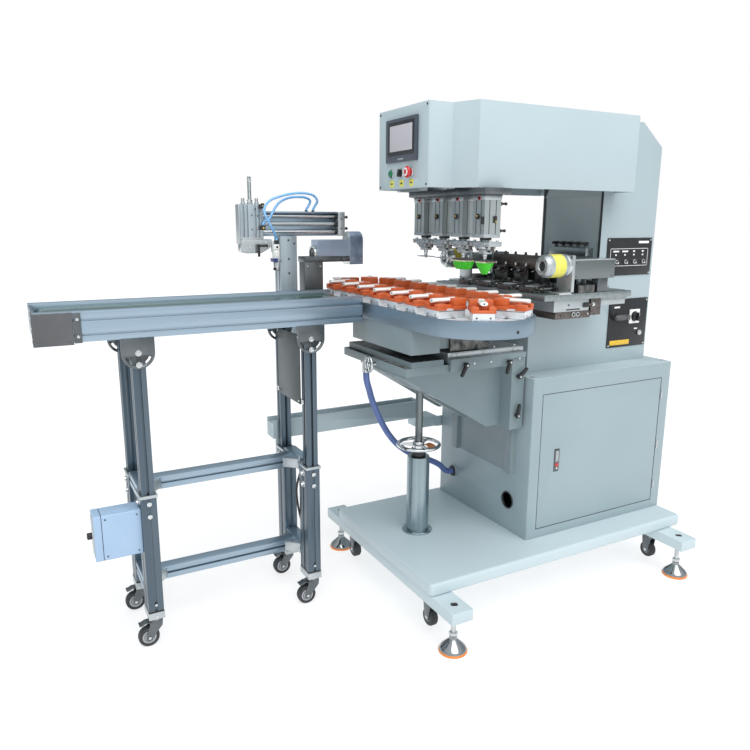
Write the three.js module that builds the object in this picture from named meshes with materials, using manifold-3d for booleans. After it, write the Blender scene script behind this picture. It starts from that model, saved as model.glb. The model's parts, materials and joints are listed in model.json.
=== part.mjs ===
// Four-colour pad printing machine for lighters, with an oval carrier track, a jacked knee table,
// a telescopic belt conveyor and a pick-and-place unit. Millimetres, +Z up.
// X runs from the conveyor to the back of the column, Y from the cabinet door side to the far side.
import * as THREE from 'three';
import { mergeVertices } from 'three/addons/utils/BufferGeometryUtils.js';
import Module from 'manifold-3d';

const wasm = await Module();
wasm.setup();

// Driving sizes of the whole machine
const gap = 0.3;
const overrun = 3;
const lineY = 380;
const colourPitch = 120;
const colours = 4;
const straightPitches = 6;
const arcPitches = 3;
const baseLength = 1203;
const baseWidth = 709;
const baseTop = 211;
// Heights build up from the floor: knee, track, bench, throat and head, so that one can grow alone
const tableTop = 905;
const trackRise = 186;
const benchRise = 42;
const throat = 344;
const headHeight = 263;
const conveyorRise = 25;
const trackTop = tableTop + trackRise;
const benchTop = trackTop + benchRise;
const armBottom = benchTop + throat;
const overallHeight = armBottom + headHeight;
const conveyorTop = trackTop + conveyorRise;
const conveyorLeft = -1070;
const conveyorRight = -41;

// Finishes
const finishes = {
  paint: { color: 0xcfdde1, roughness: 0.45, metalness: 0.05 },
  aluminium: { color: 0xb4bfc8, roughness: 0.38, metalness: 0.85 },
  steel: { color: 0x9aa0a4, roughness: 0.3, metalness: 0.9 },
  chrome: { color: 0xc9ccd0, roughness: 0.12, metalness: 1 },
  black: { color: 0x17191b, roughness: 0.55, metalness: 0.05 },
  orange: { color: 0xe2592a, roughness: 0.5, metalness: 0 },
  green: { color: 0x1d9a55, roughness: 0.4, metalness: 0 },
  silicone: { color: 0x35e02c, roughness: 0.45, metalness: 0 },
  red: { color: 0xc81e24, roughness: 0.35, metalness: 0 },
  belt: { color: 0x0f6a4a, roughness: 0.25, metalness: 0 },
  rubber: { color: 0x3a4147, roughness: 0.7, metalness: 0 },
  hose: { color: 0x4f6fa6, roughness: 0.45, metalness: 0 },
  airTube: { color: 0x58aee8, roughness: 0.35, metalness: 0 },
  box: { color: 0xc3e0ef, roughness: 0.5, metalness: 0 },
};

const part = new THREE.Group();

// Solid helpers: every piece is a closed solid, joined and cut before it becomes a mesh
function solid(geometry) {
  const bare = geometry.index ? geometry.toNonIndexed() : geometry.clone();
  bare.deleteAttribute('normal');
  bare.deleteAttribute('uv');
  const merged = mergeVertices(bare, 1e-4);
  const places = Array.from(merged.attributes.position.array);
  const raw = Array.from(merged.index.array);
  const triangles = [];
  let volume = 0;
  for (let i = 0; i < raw.length; i += 3) {
    const [a, b, c] = [raw[i], raw[i + 1], raw[i + 2]];
    if (a === b || b === c || a === c) continue;
    triangles.push(a, b, c);
    const p = new THREE.Vector3().fromArray(places, 3 * a);
    const q = new THREE.Vector3().fromArray(places, 3 * b);
    const r = new THREE.Vector3().fromArray(places, 3 * c);
    volume += p.dot(q.cross(r));
  }
  if (volume < 0) {
    for (let i = 0; i < triangles.length; i += 3) {
      [triangles[i + 1], triangles[i + 2]] = [triangles[i + 2], triangles[i + 1]];
    }
  }
  return new wasm.Manifold(new wasm.Mesh({
    numProp: 3,
    vertProperties: new Float32Array(places),
    triVerts: new Uint32Array(triangles),
  }));
}

function join(...solids) {
  return solids.flat().reduce((a, b) => a.add(b));
}

function cut(body, ...tools) {
  return tools.flat().reduce((a, b) => a.subtract(b), body);
}

// Box between two corners
function block(x0, x1, y0, y1, z0, z1) {
  const shape = new THREE.BoxGeometry(x1 - x0, y1 - y0, z1 - z0);
  shape.translate((x0 + x1) / 2, (y0 + y1) / 2, (z0 + z1) / 2);
  return solid(shape);
}

// Round bar along an axis from a0 to a1; u and v are its other two places in X, Y, Z order
function rod(axis, radius, a0, a1, u, v, sides = 14) {
  const shape = new THREE.CylinderGeometry(radius, radius, Math.abs(a1 - a0), sides);
  const middle = (a0 + a1) / 2;
  if (axis === 'x') {
    shape.rotateZ(Math.PI / 2);
    shape.translate(middle, u, v);
  } else if (axis === 'y') {
    shape.translate(u, middle, v);
  } else {
    shape.rotateX(Math.PI / 2);
    shape.translate(u, v, middle);
  }
  return solid(shape);
}

// Turned piece from [radius, height] pairs that start and end on the axis
function turned(axis, profile, u, v, sides = 24) {
  const shape = new THREE.LatheGeometry(profile.map(([r, h]) => new THREE.Vector2(r, h)), sides);
  if (axis === 'x') {
    shape.rotateZ(-Math.PI / 2);
    shape.translate(0, u, v);
  } else if (axis === 'y') {
    shape.translate(u, 0, v);
  } else {
    shape.rotateX(Math.PI / 2);
    shape.translate(u, v, 0);
  }
  return solid(shape);
}

function outline(points) {
  return new THREE.Shape(points.map(([a, b]) => new THREE.Vector2(a, b)));
}

function roundedOutline(a0, a1, b0, b1, radius) {
  const shape = new THREE.Shape();
  shape.moveTo(a0 + radius, b0);
  shape.lineTo(a1 - radius, b0);
  shape.absarc(a1 - radius, b0 + radius, radius, -Math.PI / 2, 0);
  shape.lineTo(a1, b1 - radius);
  shape.absarc(a1 - radius, b1 - radius, radius, 0, Math.PI / 2);
  shape.lineTo(a0 + radius, b1);
  shape.absarc(a0 + radius, b1 - radius, radius, Math.PI / 2, Math.PI);
  shape.lineTo(a0, b0 + radius);
  shape.absarc(a0 + radius, b0 + radius, radius, Math.PI, 1.5 * Math.PI);
  return shape;
}

// Outline with straight sides along Y and half-round ends
function ovalOutline(x, y0, y1, radius) {
  const shape = new THREE.Shape();
  shape.moveTo(x + radius, y0);
  shape.lineTo(x + radius, y1);
  shape.absarc(x, y1, radius, 0, Math.PI);
  shape.lineTo(x - radius, y0);
  shape.absarc(x, y0, radius, Math.PI, 2 * Math.PI);
  return shape;
}

function extruded(shape, length, steps, bevel) {
  return new THREE.ExtrudeGeometry(shape, {
    depth: bevel ? length - 2 * bevel : length,
    curveSegments: steps,
    bevelEnabled: Boolean(bevel),
    bevelThickness: bevel,
    bevelSize: bevel,
    bevelOffset: -bevel,
    bevelSegments: 1,
  });
}

// Plates: an outline in XY raised along Z, in XZ along Y, or in YZ along X
function plateZ(shape, z0, z1, steps = 8, bevel = 0) {
  const plate = extruded(shape, z1 - z0, steps, bevel);
  plate.translate(0, 0, z0 + bevel);
  return solid(plate);
}

function plateY(shape, y0, y1, steps = 8, bevel = 0) {
  const plate = extruded(shape, y1 - y0, steps, bevel);
  plate.translate(0, 0, bevel);
  plate.applyMatrix4(new THREE.Matrix4().makeBasis(
    new THREE.Vector3(1, 0, 0), new THREE.Vector3(0, 0, 1), new THREE.Vector3(0, -1, 0)));
  plate.translate(0, y1, 0);
  return solid(plate);
}

function plateX(shape, x0, x1, steps = 8, bevel = 0) {
  const plate = extruded(shape, x1 - x0, steps, bevel);
  plate.translate(0, 0, bevel);
  plate.applyMatrix4(new THREE.Matrix4().makeBasis(
    new THREE.Vector3(0, 1, 0), new THREE.Vector3(0, 0, 1), new THREE.Vector3(1, 0, 0)));
  plate.translate(x0, 0, 0);
  return solid(plate);
}

// Round tube swept along a list of places
function sweptTube(radius, places, steps, sides) {
  const section = new THREE.Shape();
  section.absarc(0, 0, radius, 0, 2 * Math.PI);
  const route = new THREE.CatmullRomCurve3(places.map((p) => new THREE.Vector3(...p)), false,
    'centripetal');
  return solid(new THREE.ExtrudeGeometry(section, { steps, curveSegments: sides / 2, extrudePath: route }));
}

function turnedAbout(body, x, y, degrees) {
  return body.translate([-x, -y, 0]).rotate([0, 0, degrees]).translate([x, y, 0]);
}

function addPiece(name, body, finish) {
  const mesh = body.getMesh();
  const geometry = new THREE.BufferGeometry();
  geometry.setAttribute('position', new THREE.BufferAttribute(new Float32Array(mesh.vertProperties), 3));
  geometry.setIndex(new THREE.BufferAttribute(new Uint32Array(mesh.triVerts), 1));
  const piece = new THREE.Mesh(geometry, new THREE.MeshStandardMaterial(finishes[finish]));
  piece.name = name;
  part.add(piece);
}

// Base frame: bevelled base plate on two outrigger bars, four levelling feet, four tucked casters
const base = { thick: 45, bevel: 9, corner: 14 };
const outrigger = { width: 80, height: 40, reach: 115, inset: 46, endInset: 87, footReach: 66, hole: 9,
  holeDepth: 24 };
const foot = { pad: 47.5, padHeight: 9, dome: 45, domeHeight: 36, neck: 13, nut: 15, nutHeight: 12,
  stem: 8 };
const tucked = { radius: 31, width: 26, lift: 20, plate: 62, plateThick: 5, cheek: 4, cheekWidth: 40,
  inset: 70 };
const plateBottom = baseTop - base.thick;
const barBottom = plateBottom - outrigger.height;
const barXs = [outrigger.inset, baseLength - outrigger.endInset];

function levellingFoot(x, y) {
  return turned('z', [
    [0, 0], [foot.pad, 0], [foot.pad, foot.padHeight], [foot.dome, foot.padHeight + 1.5 * gap],
    [foot.neck, foot.padHeight + foot.domeHeight], [foot.stem, foot.padHeight + foot.domeHeight],
    [foot.stem, barBottom - foot.nutHeight], [foot.nut, barBottom - foot.nutHeight],
    [foot.nut, barBottom + gap], [0, barBottom + gap],
  ], x, y, 10);
}

function tuckedCaster(x, y) {
  const wheelZ = tucked.lift + tucked.radius;
  const half = tucked.width / 2 + gap;
  const outer = half + tucked.cheek;
  const plateZ0 = barBottom - tucked.plateThick;
  return join(
    rod('x', tucked.radius, x - tucked.width / 2, x + tucked.width / 2, y, wheelZ, 14),
    rod('x', tucked.cheek, x - outer + gap, x + outer - gap, y, wheelZ, 6),
    block(x - outer, x - half, y - tucked.cheekWidth / 2, y + tucked.cheekWidth / 2, wheelZ - tucked.cheek,
      plateZ0),
    block(x + half, x + outer, y - tucked.cheekWidth / 2, y + tucked.cheekWidth / 2, wheelZ - tucked.cheek,
      plateZ0),
    block(x - tucked.plate / 2, x + tucked.plate / 2, y - tucked.plate / 2, y + tucked.plate / 2,
      plateZ0 - tucked.cheek, barBottom + gap),
  );
}

{
  const plate = plateZ(roundedOutline(0, baseLength, 0, baseWidth, base.corner), plateBottom, baseTop, 1,
    base.bevel);
  const bars = barXs.map((x) => block(x - outrigger.width / 2, x + outrigger.width / 2,
    -outrigger.reach, baseWidth + outrigger.reach, barBottom, plateBottom + gap));
  const footYs = [-outrigger.footReach, baseWidth + outrigger.footReach];
  const feet = barXs.flatMap((x) => footYs.map((y) => levellingFoot(x, y)));
  const holes = barXs.flatMap((x) => footYs.map((y) =>
    rod('z', outrigger.hole, plateBottom - outrigger.holeDepth, plateBottom + overrun, x, y, 8)));
  const casterYs = [tucked.inset, baseWidth - tucked.inset];
  const casters = barXs.flatMap((x) => casterYs.map((y) => tuckedCaster(x, y)));
  addPiece('base_frame', cut(join(plate, bars, feet, casters), holes), 'paint');
}

// Cabinet: sheet shell with a door opening, two hose holes, slideways for the knee and a wiring board
const cabinet = {
  left: 488, near: 111, far: 687, drop: 79, wall: 4, corner: 8, frame: 26, frameDepth: 24,
  holeRadius: 30, farHoleY: 576, farHoleRise: 125, nearHoleY: 226, nearHoleRise: 120,
  gland: 24, glandBore: 12.5, glandLength: 12,
};
const cabinetTop = tableTop - cabinet.drop;
const farHoleZ = baseTop + cabinet.farHoleRise;
const nearHoleZ = baseTop + cabinet.nearHoleRise;
const doorway = { left: 534, right: 1150, sill: 36, head: 61, lip: 12, lipThick: 3 };
const doorwayBottom = baseTop + doorway.sill;
const doorwayTop = cabinetTop - doorway.head;
const door = { clearance: 0.8, thick: 20, sheet: 2, barrel: 7, barrelHeight: 40 };
const ways = { near: 190, far: 570, rise: 239, plate: 10, rail: 14, railWidth: 36 };
const board = { inset: 40, thick: 3, plateWidthShare: 0.8, plateHeightShare: 0.75 };
const cabinetRight = baseLength;
const wayFace = cabinet.left - ways.plate;
const railFace = wayFace - ways.rail;

{
  const floorZ = baseTop + gap;
  const outer = plateZ(roundedOutline(cabinet.left, cabinetRight, cabinet.near, cabinet.far,
    cabinet.corner),
    floorZ, cabinetTop, 1);
  const w = cabinet.wall;
  const inner = block(cabinet.left + w, cabinetRight - w, cabinet.near + cabinet.frameDepth,
    cabinet.far - w,
    floorZ + w, cabinetTop - w);
  const opening = block(doorway.left, doorway.right, cabinet.near - overrun,
    cabinet.near + door.thick + gap,
    doorwayBottom, doorwayTop);
  const passage = block(doorway.left + doorway.lip, doorway.right - doorway.lip, cabinet.near,
    cabinet.near + cabinet.frameDepth + overrun, doorwayBottom + doorway.lip, doorwayTop - doorway.lip);
  const holes = [[cabinet.farHoleY, farHoleZ, cabinet.glandBore], [cabinet.nearHoleY, nearHoleZ,
    cabinet.holeRadius]].map(([y, z, r]) => rod('x', r, cabinet.left - overrun, cabinet.left + w + overrun,
    y, z, 18));
  const gland = cut(
    rod('x', cabinet.gland, cabinet.left - cabinet.glandLength, cabinet.left + w, cabinet.farHoleY,
      farHoleZ, 18),
    rod('x', cabinet.glandBore, cabinet.left - 2 * cabinet.glandLength, cabinet.left + 2 * w,
      cabinet.farHoleY, farHoleZ, 18),
  );
  const wayPlate = block(wayFace, cabinet.left + gap, ways.near, ways.far, baseTop + ways.rise, cabinetTop);
  const rails = [ways.near, ways.far - ways.railWidth].map((y) =>
    block(railFace, wayFace + gap, y, y + ways.railWidth, baseTop + ways.rise, cabinetTop));
  const insideWidth = cabinetRight - cabinet.left;
  const insideHeight = cabinetTop - baseTop;
  const middleX = (cabinet.left + cabinetRight) / 2;
  const middleZ = (cabinetTop + baseTop) / 2;
  const boardY = cabinet.far - board.inset;
  const halfBoard = insideWidth * board.plateWidthShare / 2;
  const halfRise = insideHeight * board.plateHeightShare / 2;
  const wiringBoard = block(middleX - halfBoard, middleX + halfBoard, boardY, boardY + board.thick,
    middleZ - halfRise, middleZ + halfRise);
  const studs = [-1,
    1].flatMap((i) => [-1, 1].map((k) => rod('y', door.barrel, boardY, cabinet.far - w + gap,
    middleX + i * halfBoard * board.plateWidthShare, middleZ + k * halfRise * board.plateWidthShare, 6)));
  // Drive boxes and valve block on the wiring board, as shares of its width and height
  const unitShares = [[-0.8, 0.25, 0.35, 0.55], [-0.35, 0.25, 0.3, 0.55], [0.05, 0.3, 0.35, 0.4],
    [-0.8, -0.65, 0.75, 0.3], [0.15, -0.6, 0.6, 0.45]];
  const unitDepthShare = 0.75;
  const units = unitShares.map(([a, b, width, height]) => block(
    middleX + a * halfBoard, middleX + (a + width) * halfBoard,
    boardY - 3 * board.inset * unitDepthShare, boardY + gap,
    middleZ + b * halfRise, middleZ + (b + height) * halfRise));
  addPiece('cabinet', join(cut(outer, inner, opening, passage, holes), gland, wayPlate, rails, wiringBoard,
    studs, units),
    'paint');
}

// Door: a folded pan with a recessed latch dish; it turns on pins at its right edge
const latch = { x: 617, height: 89, middleShare: 0.499035, width: 25, dish: 8, lever: 5, edge: 2,
  headroom: 3 };
const doorX0 = doorway.left + door.clearance;
const doorX1 = doorway.right - door.clearance;
const doorZ0 = doorwayBottom + door.clearance;
const doorZ1 = doorwayTop - door.clearance;
const latchBottom = doorwayBottom + (doorwayTop - doorwayBottom) * latch.middleShare - latch.height / 2;
const latchTop = latchBottom + latch.height;

{
  const pan = cut(
    block(doorX0, doorX1, cabinet.near, cabinet.near + door.thick, doorZ0, doorZ1),
    block(doorX0 + door.sheet, doorX1 - door.sheet, cabinet.near + door.sheet,
      cabinet.near + door.thick + overrun,
      doorZ0 + door.sheet, doorZ1 - door.sheet),
  );
  const dishBack = block(latch.x - latch.width / 2 - latch.edge, latch.x + latch.width / 2 + latch.edge,
    cabinet.near + gap, cabinet.near + latch.dish + door.sheet, latchBottom - latch.edge,
    latchTop + latch.edge);
  const dish = block(latch.x - latch.width / 2, latch.x + latch.width / 2, cabinet.near - overrun,
    cabinet.near + latch.dish, latchBottom, latchTop);
  addPiece('cabinet_door', cut(join(pan, dishBack), dish), 'paint');
  const lever = plateX(roundedOutline(cabinet.near - latch.edge, cabinet.near + latch.lever - gap,
    latchBottom + gap, latchTop - latch.headroom, latch.edge), latch.x - latch.width / 2 + gap,
    latch.x + latch.width / 2 - gap, 2);
  addPiece('door_latch', lever, 'chrome');
}

// Head: hood sizes, and heights as shares of it
const cover = {
  front: 99, flareStart: 186, flareEnd: 223, back: 926, near: 126, far: 634, noseNear: 219, noseFar: 541,
    sheet: 3,
  frontLip: 14,
};
const inHead = (share) => armBottom + share * headHeight;
const columnTop = overallHeight - cover.sheet - gap;

// Column: C-shaped frame with the bench block in front, the cranked top and the arm with two guide shafts
const column = {
  near: 217, far: 543, left: 870, right: 1160, blockLeft: 542, blockTop: -88, cutX: 1050,
    cutShare: 0.661597,
  armFront: 200, armBottomShare: 0.258555, armTopShare: 0.847909, armInset: 55, recess: 4, recessInset: 12,
    recessBottom: 17,
};
const shaft = { radius: 12.5, share: 0.117871, spacing: 170, support: 16 };
const manifold = { depth: 34, near: 255, far: 455, height: 29, share: 0.319767, ports: 5, port: 7,
  portHeight: 9 };
const manifoldBottom = benchTop + throat * manifold.share;
const manifoldTop = manifoldBottom + manifold.height;
const shaftYs = [lineY - shaft.spacing / 2, lineY + shaft.spacing / 2];

{
  const upright = plateY(outline([
    [column.blockLeft, cabinetTop + gap], [column.right, cabinetTop + gap],
    [column.right, inHead(column.cutShare)],
    [column.cutX, columnTop], [column.left, columnTop], [column.left, benchTop + column.blockTop],
    [column.blockLeft, benchTop + column.blockTop],
  ]), column.near, column.far);
  const arm = block(column.armFront, column.left + gap, column.near + column.armInset,
    column.far - column.armInset,
    inHead(column.armBottomShare), inHead(column.armTopShare));
  const shafts = shaftYs.map((y) => rod('x', shaft.radius, column.armFront, column.left + gap, y,
    inHead(shaft.share), 14));
  const support = block(column.armFront, column.armFront + shaft.support, shaftYs[0] - 2 * shaft.radius,
    shaftYs[1] + 2 * shaft.radius, inHead(shaft.share) - shaft.radius - overrun,
    inHead(column.armBottomShare) + gap);
  const recess = block(column.left - overrun, column.left + column.recess, column.near + column.recessInset,
    column.far - column.recessInset, benchTop + column.recessBottom, armBottom - column.recessInset);
  const manifoldBody = block(column.left - manifold.depth, column.left + column.recess + gap, manifold.near,
    manifold.far,
    manifoldBottom, manifoldTop);
  const portStep = (manifold.far - manifold.near) / manifold.ports;
  const ports = Array.from({ length: manifold.ports }, (_, i) => rod('z', manifold.port, manifoldTop - gap,
    manifoldTop + manifold.portHeight, column.left - manifold.depth / 2,
    manifold.near + (i + 0.5) * portStep, 8));
  addPiece('column', join(cut(join(upright, arm), recess), shafts, support, manifoldBody, ports), 'paint');
}

// Arm cover: folded sheet hood with flared front corners, open below and at the front

{
  const hood = (offset) => outline([
    [cover.front, cover.noseNear + offset], [cover.flareStart + offset / 2, cover.noseNear + offset],
    [cover.flareEnd + offset / 2, cover.near + offset], [cover.back - offset, cover.near + offset],
    [cover.back - offset, cover.far - offset], [cover.flareEnd + offset / 2, cover.far - offset],
    [cover.flareStart + offset / 2, cover.noseFar - offset], [cover.front, cover.noseFar - offset],
  ]);
  const skin = plateZ(hood(0), armBottom, overallHeight);
  const hollow = plateZ(hood(cover.sheet), armBottom - overrun, overallHeight - cover.sheet)
    .translate([-gap, 0, 0]);
  const frontCut = block(cover.front - overrun, cover.front + cover.frontLip, cover.noseNear + cover.sheet,
    cover.noseFar - cover.sheet, armBottom - overrun, overallHeight - cover.sheet);
  const columnCut = block(column.left - gap, cover.back + overrun, column.near - gap, column.far + gap,
    armBottom - overrun, overallHeight - cover.sheet);
  addPiece('arm_cover', cut(skin, hollow, frontCut, columnCut), 'paint');
}

// Head panel with the touch panel and three controls
const headPanel = { thick: 4, windowInset: 6 };
const touch = { near: 280, far: 480, height: 140, middleShare: 0.600760, bezel: 8, body: 34,
  screenNear: 307, screenFar: 460,
  screenRise: 32, screenDrop: 17, screenDepth: 1.2, corner: 4 };
const control = { share: 0.590909, startY: 451, selectorY: 386, stopY: 322, hole: 11.4, stem: 11, ring: 15,
  ringDepth: 3,
  cap: 12, capDepth: 5, stemLength: 30, mushroom: 19, mushroomDepth: 24, mushroomNeck: 12, grip: 4,
    gripDepth: 14 };
const touchBottom = inHead(touch.middleShare) - touch.height / 2;
const touchTop = touchBottom + touch.height;
const controlZ = armBottom + (touchBottom - armBottom) * control.share;
const panelFace = cover.front - headPanel.thick;
const plateFace = panelFace - gap;

{
  const panel = plateX(roundedOutline(cover.noseNear, cover.noseFar, armBottom, overallHeight, 3 * gap),
    panelFace, cover.front, 1);
  const window = block(panelFace - overrun, cover.front + overrun, touch.near + headPanel.windowInset,
    touch.far - headPanel.windowInset, touchBottom + headPanel.windowInset,
    touchTop - headPanel.windowInset);
  const holes = [control.startY, control.selectorY, control.stopY].map((y) =>
    rod('x', control.hole, panelFace - overrun, cover.front + overrun, y, controlZ, 14));
  addPiece('head_panel', cut(panel, window, holes), 'paint');

  const bezel = plateX(roundedOutline(touch.near, touch.far, touchBottom, touchTop, touch.corner),
    plateFace - touch.bezel, plateFace, 2);
  const bodyInset = headPanel.windowInset + gap;
  const body = block(plateFace - gap, cover.front + touch.body, touch.near + bodyInset,
    touch.far - bodyInset,
    touchBottom + bodyInset, touchTop - bodyInset);
  const screen = block(plateFace - touch.bezel - overrun, plateFace - touch.bezel + touch.screenDepth,
    touch.screenNear, touch.screenFar, touchBottom + touch.screenRise, touchTop - touch.screenDrop);
  addPiece('touch_panel', cut(join(bezel, body), screen), 'black');

  const tail = cover.front + control.stemLength;
  const start = turned('x', [
    [0, plateFace - control.ringDepth - control.capDepth], [control.cap - 1.5,
      plateFace - control.ringDepth - control.capDepth],
    [control.cap, plateFace - control.capDepth], [control.cap, plateFace - control.capDepth + gap],
    [control.stem, plateFace - control.capDepth + gap], [control.stem, tail], [0, tail],
  ], control.startY, controlZ);
  addPiece('start_button', start, 'green');

  const selector = join(
    turned('x', [[0, plateFace - control.ringDepth], [control.ring, plateFace - control.ringDepth],
      [control.ring, plateFace], [control.stem, plateFace], [control.stem, tail], [0, tail]],
    control.selectorY, controlZ),
    block(plateFace - control.ringDepth - control.gripDepth, plateFace - control.ringDepth + gap,
      control.selectorY - control.grip, control.selectorY + control.grip,
      controlZ - control.cap, controlZ + control.cap),
  );
  addPiece('mode_selector', selector, 'black');

  const mushroomBack = plateFace - control.mushroomDepth / 2;
  const stop = turned('x', [
    [0, plateFace - control.mushroomDepth - 4 * gap], [control.mushroom * 0.6,
      plateFace - control.mushroomDepth],
    [control.mushroom, mushroomBack - 3 * gap], [control.mushroom, mushroomBack],
    [control.stem, mushroomBack], [control.stem, tail], [0, tail],
  ], control.stopY, controlZ);
  addPiece('stop_button', stop, 'red');
}

// Two black control plates on the near side of the column
const plates = { thick: 3, corner: 3 };
const timer = { left: 905, right: 1147, bottom: 35, top: 178, knobs: 4, knob: 7, knobDepth: 10,
  knobZShare: 0.34,
  firstShare: 0.2, stepShare: 0.2 };
const power = { left: 940, right: 1152, bottom: -249, top: -57, switchX: 1080, switchZ: -129,
  escutcheon: 25,
  escutcheonDepth: 4, stemHole: 8, lockX: 1113, lockZ: -196, lock: 10, lockDepth: 8 };
const plateBack = column.near - gap;
const plateFront = plateBack - plates.thick;

{
  const timerPlate = plateY(roundedOutline(timer.left, timer.right, benchTop + timer.bottom,
    benchTop + timer.top, plates.corner),
    plateFront, plateBack, 2);
  const knobs = Array.from({ length: timer.knobs }, (_, i) => rod('y', timer.knob,
    plateFront - timer.knobDepth,
    plateFront + gap, timer.left + (timer.right - timer.left) * (timer.firstShare + i * timer.stepShare),
    benchTop + timer.bottom + (benchTop + timer.top - (benchTop + timer.bottom)) * timer.knobZShare, 14));
  addPiece('timer_panel', join(timerPlate, knobs), 'black');

  const powerPlate = plateY(roundedOutline(power.left, power.right, benchTop + power.bottom,
    benchTop + power.top, plates.corner),
    plateFront, plateBack, 2);
  const escutcheon = block(power.switchX - power.escutcheon, power.switchX + power.escutcheon,
    plateFront - power.escutcheonDepth, plateFront + gap, benchTop + power.switchZ - power.escutcheon,
    benchTop + power.switchZ + power.escutcheon);
  const lock = rod('y', power.lock, plateFront - power.lockDepth, plateFront + gap, power.lockX,
    benchTop + power.lockZ, 16);
  const stemHole = rod('y', power.stemHole + gap, plateFront - 2 * power.escutcheonDepth, plateBack - gap,
    power.switchX, benchTop + power.switchZ, 16);
  addPiece('power_panel', cut(join(powerPlate, escutcheon, lock), stemHole), 'black');
}

const rotary = { radius: 17, depth: 12, grip: 4, gripDepth: 12 };
{
  const face = plateFront - power.escutcheonDepth - gap;
  addPiece('rotary_switch', join(
    rod('y', rotary.radius, face - rotary.depth, face, power.switchX, benchTop + power.switchZ, 20),
    block(power.switchX - rotary.grip, power.switchX + rotary.grip, face - rotary.depth - rotary.gripDepth,
      face - rotary.depth + gap, benchTop + power.switchZ - rotary.radius,
      benchTop + power.switchZ + rotary.radius),
    rod('y', power.stemHole, face - gap, plateBack - 2 * gap, power.switchX, benchTop + power.switchZ, 16),
  ), 'black');
}

// Screw jack: stainless tube on the base, handwheel nut on top, screw fixed to the knee
const jack = {
  x: 184, y: 385, tube: 42, bore: 37, flange: 57, flangeThick: 6, drop: 395, cap: 10, screw: 14,
  screwRise: 89, sockets: 4,
};
const jackTop = tableTop - jack.drop;
const screwSides = 14;
const screwHole = jack.screw / Math.cos(Math.PI / screwSides) + gap;
const wheel = {
  radius: 84, rim: 7, hub: 22, hubHeight: 26, collar: 27, collarHeight: 31, spoke: 5, spokes: 3,
};
const collarBottom = jackTop + gap;
const hubBottom = collarBottom + wheel.collarHeight;
const wheelZ = hubBottom + wheel.hubHeight / 2;

{
  const tube = cut(
    join(rod('z', jack.flange, baseTop + gap, baseTop + gap + jack.flangeThick, jack.x, jack.y, 24),
      rod('z', jack.tube, baseTop + gap, jackTop, jack.x, jack.y, 24)),
    rod('z', jack.bore, baseTop + 2 * jack.flangeThick, jackTop - jack.cap, jack.x, jack.y, 20),
    rod('z', screwHole, jackTop - jack.cap - overrun, jackTop + overrun, jack.x, jack.y, screwSides),
  );
  addPiece('jack_tube', tube, 'steel');

  const rim = new THREE.TorusGeometry(wheel.radius - wheel.rim, wheel.rim, 6, 20);
  rim.translate(jack.x, jack.y, wheelZ);
  const spokes = Array.from({ length: wheel.spokes }, (_, i) => turnedAbout(
    rod('x', wheel.spoke, jack.x + wheel.hub - wheel.spoke, jack.x + wheel.radius - wheel.rim, jack.y,
      wheelZ, 6),
    jack.x, jack.y, 30 + i * 360 / wheel.spokes));
  const handwheel = cut(
    join(solid(rim), rod('z', wheel.hub, hubBottom, hubBottom + wheel.hubHeight, jack.x, jack.y, 16),
      rod('z', wheel.collar, collarBottom, hubBottom + gap, jack.x, jack.y, 16), spokes),
    rod('z', screwHole, collarBottom - overrun, hubBottom + wheel.hubHeight + overrun, jack.x, jack.y,
      screwSides),
  );
  addPiece('jack_handwheel', handwheel, 'chrome');
}

// Knee: cast bracket, ribbed below, that slides on the cabinet ways and carries the jack screw
const knee = {
  tip: -16, flangeLeft: 5, flangeRight: 130, flangeTop: 19, slab: 28, near: 153, far: 607, wall: 24,
  webTip: 22, webTipBottom: -51, webSlopeX: 362, webBottom: -261, webInset: 62, guideLeft: 420, bottom: -266,
  lockX: 446, upperLockZ: -69, lowerLockZ: -213, boss: 30, stub: 16, stubBottom: -79, stubX: 22, stubY: 500,
};
const kneeBack = wayFace - gap;

{
  const slabBottom = tableTop - knee.slab;
  const side = outline([
    [knee.webTip, tableTop + knee.webTipBottom], [knee.webSlopeX, tableTop + knee.webBottom],
    [knee.guideLeft + overrun, tableTop + knee.webBottom], [knee.guideLeft + overrun, slabBottom + overrun],
    [knee.webTip, slabBottom + overrun],
  ]);
  const web = plateY(side, knee.near + knee.webInset, knee.far - knee.webInset);
  const slab = block(knee.tip, kneeBack, knee.near, knee.far, slabBottom, tableTop);
  const guide = block(knee.guideLeft, kneeBack, knee.near, knee.far, tableTop + knee.bottom,
    slabBottom + overrun);
  const body = join(slab, web, guide);
  const railSlots = [ways.near, ways.far - ways.railWidth].map((y) => block(railFace - gap,
    kneeBack + overrun,
    y - gap, y + ways.railWidth + gap, tableTop + knee.bottom - overrun, tableTop + overrun));
  // Two pockets below leave the side cheeks, a middle rib and the jack boss
  const pocketTopShare = 0.55;
  const pocketZ = tableTop + knee.bottom + (tableTop - (tableTop + knee.bottom)) * pocketTopShare;
  const webWall = knee.webInset + knee.wall;
  const pockets = [[knee.near + webWall, jack.y - knee.boss],
    [jack.y + knee.boss, knee.far - webWall]].map(([y0, y1]) =>
    block(knee.tip + 8 * knee.wall, railFace - knee.wall, y0, y1, tableTop + knee.bottom - 2 * knee.wall,
      pocketZ));
  const screwTop = tableTop - knee.wall;
  const screw = rod('z', jack.screw, baseTop + jack.screwRise, screwTop, jack.x, jack.y, screwSides);
  const flange = block(knee.flangeLeft, knee.flangeRight, knee.near + gap, knee.far - gap, tableTop - gap,
    tableTop + knee.flangeTop);
  const hoseStub = rod('z', knee.stub, tableTop + knee.stubBottom, slabBottom + gap, knee.stubX, knee.stubY,
    14);
  addPiece('knee', join(cut(body, railSlots, pockets), flange, hoseStub, screw), 'paint');
}

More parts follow.
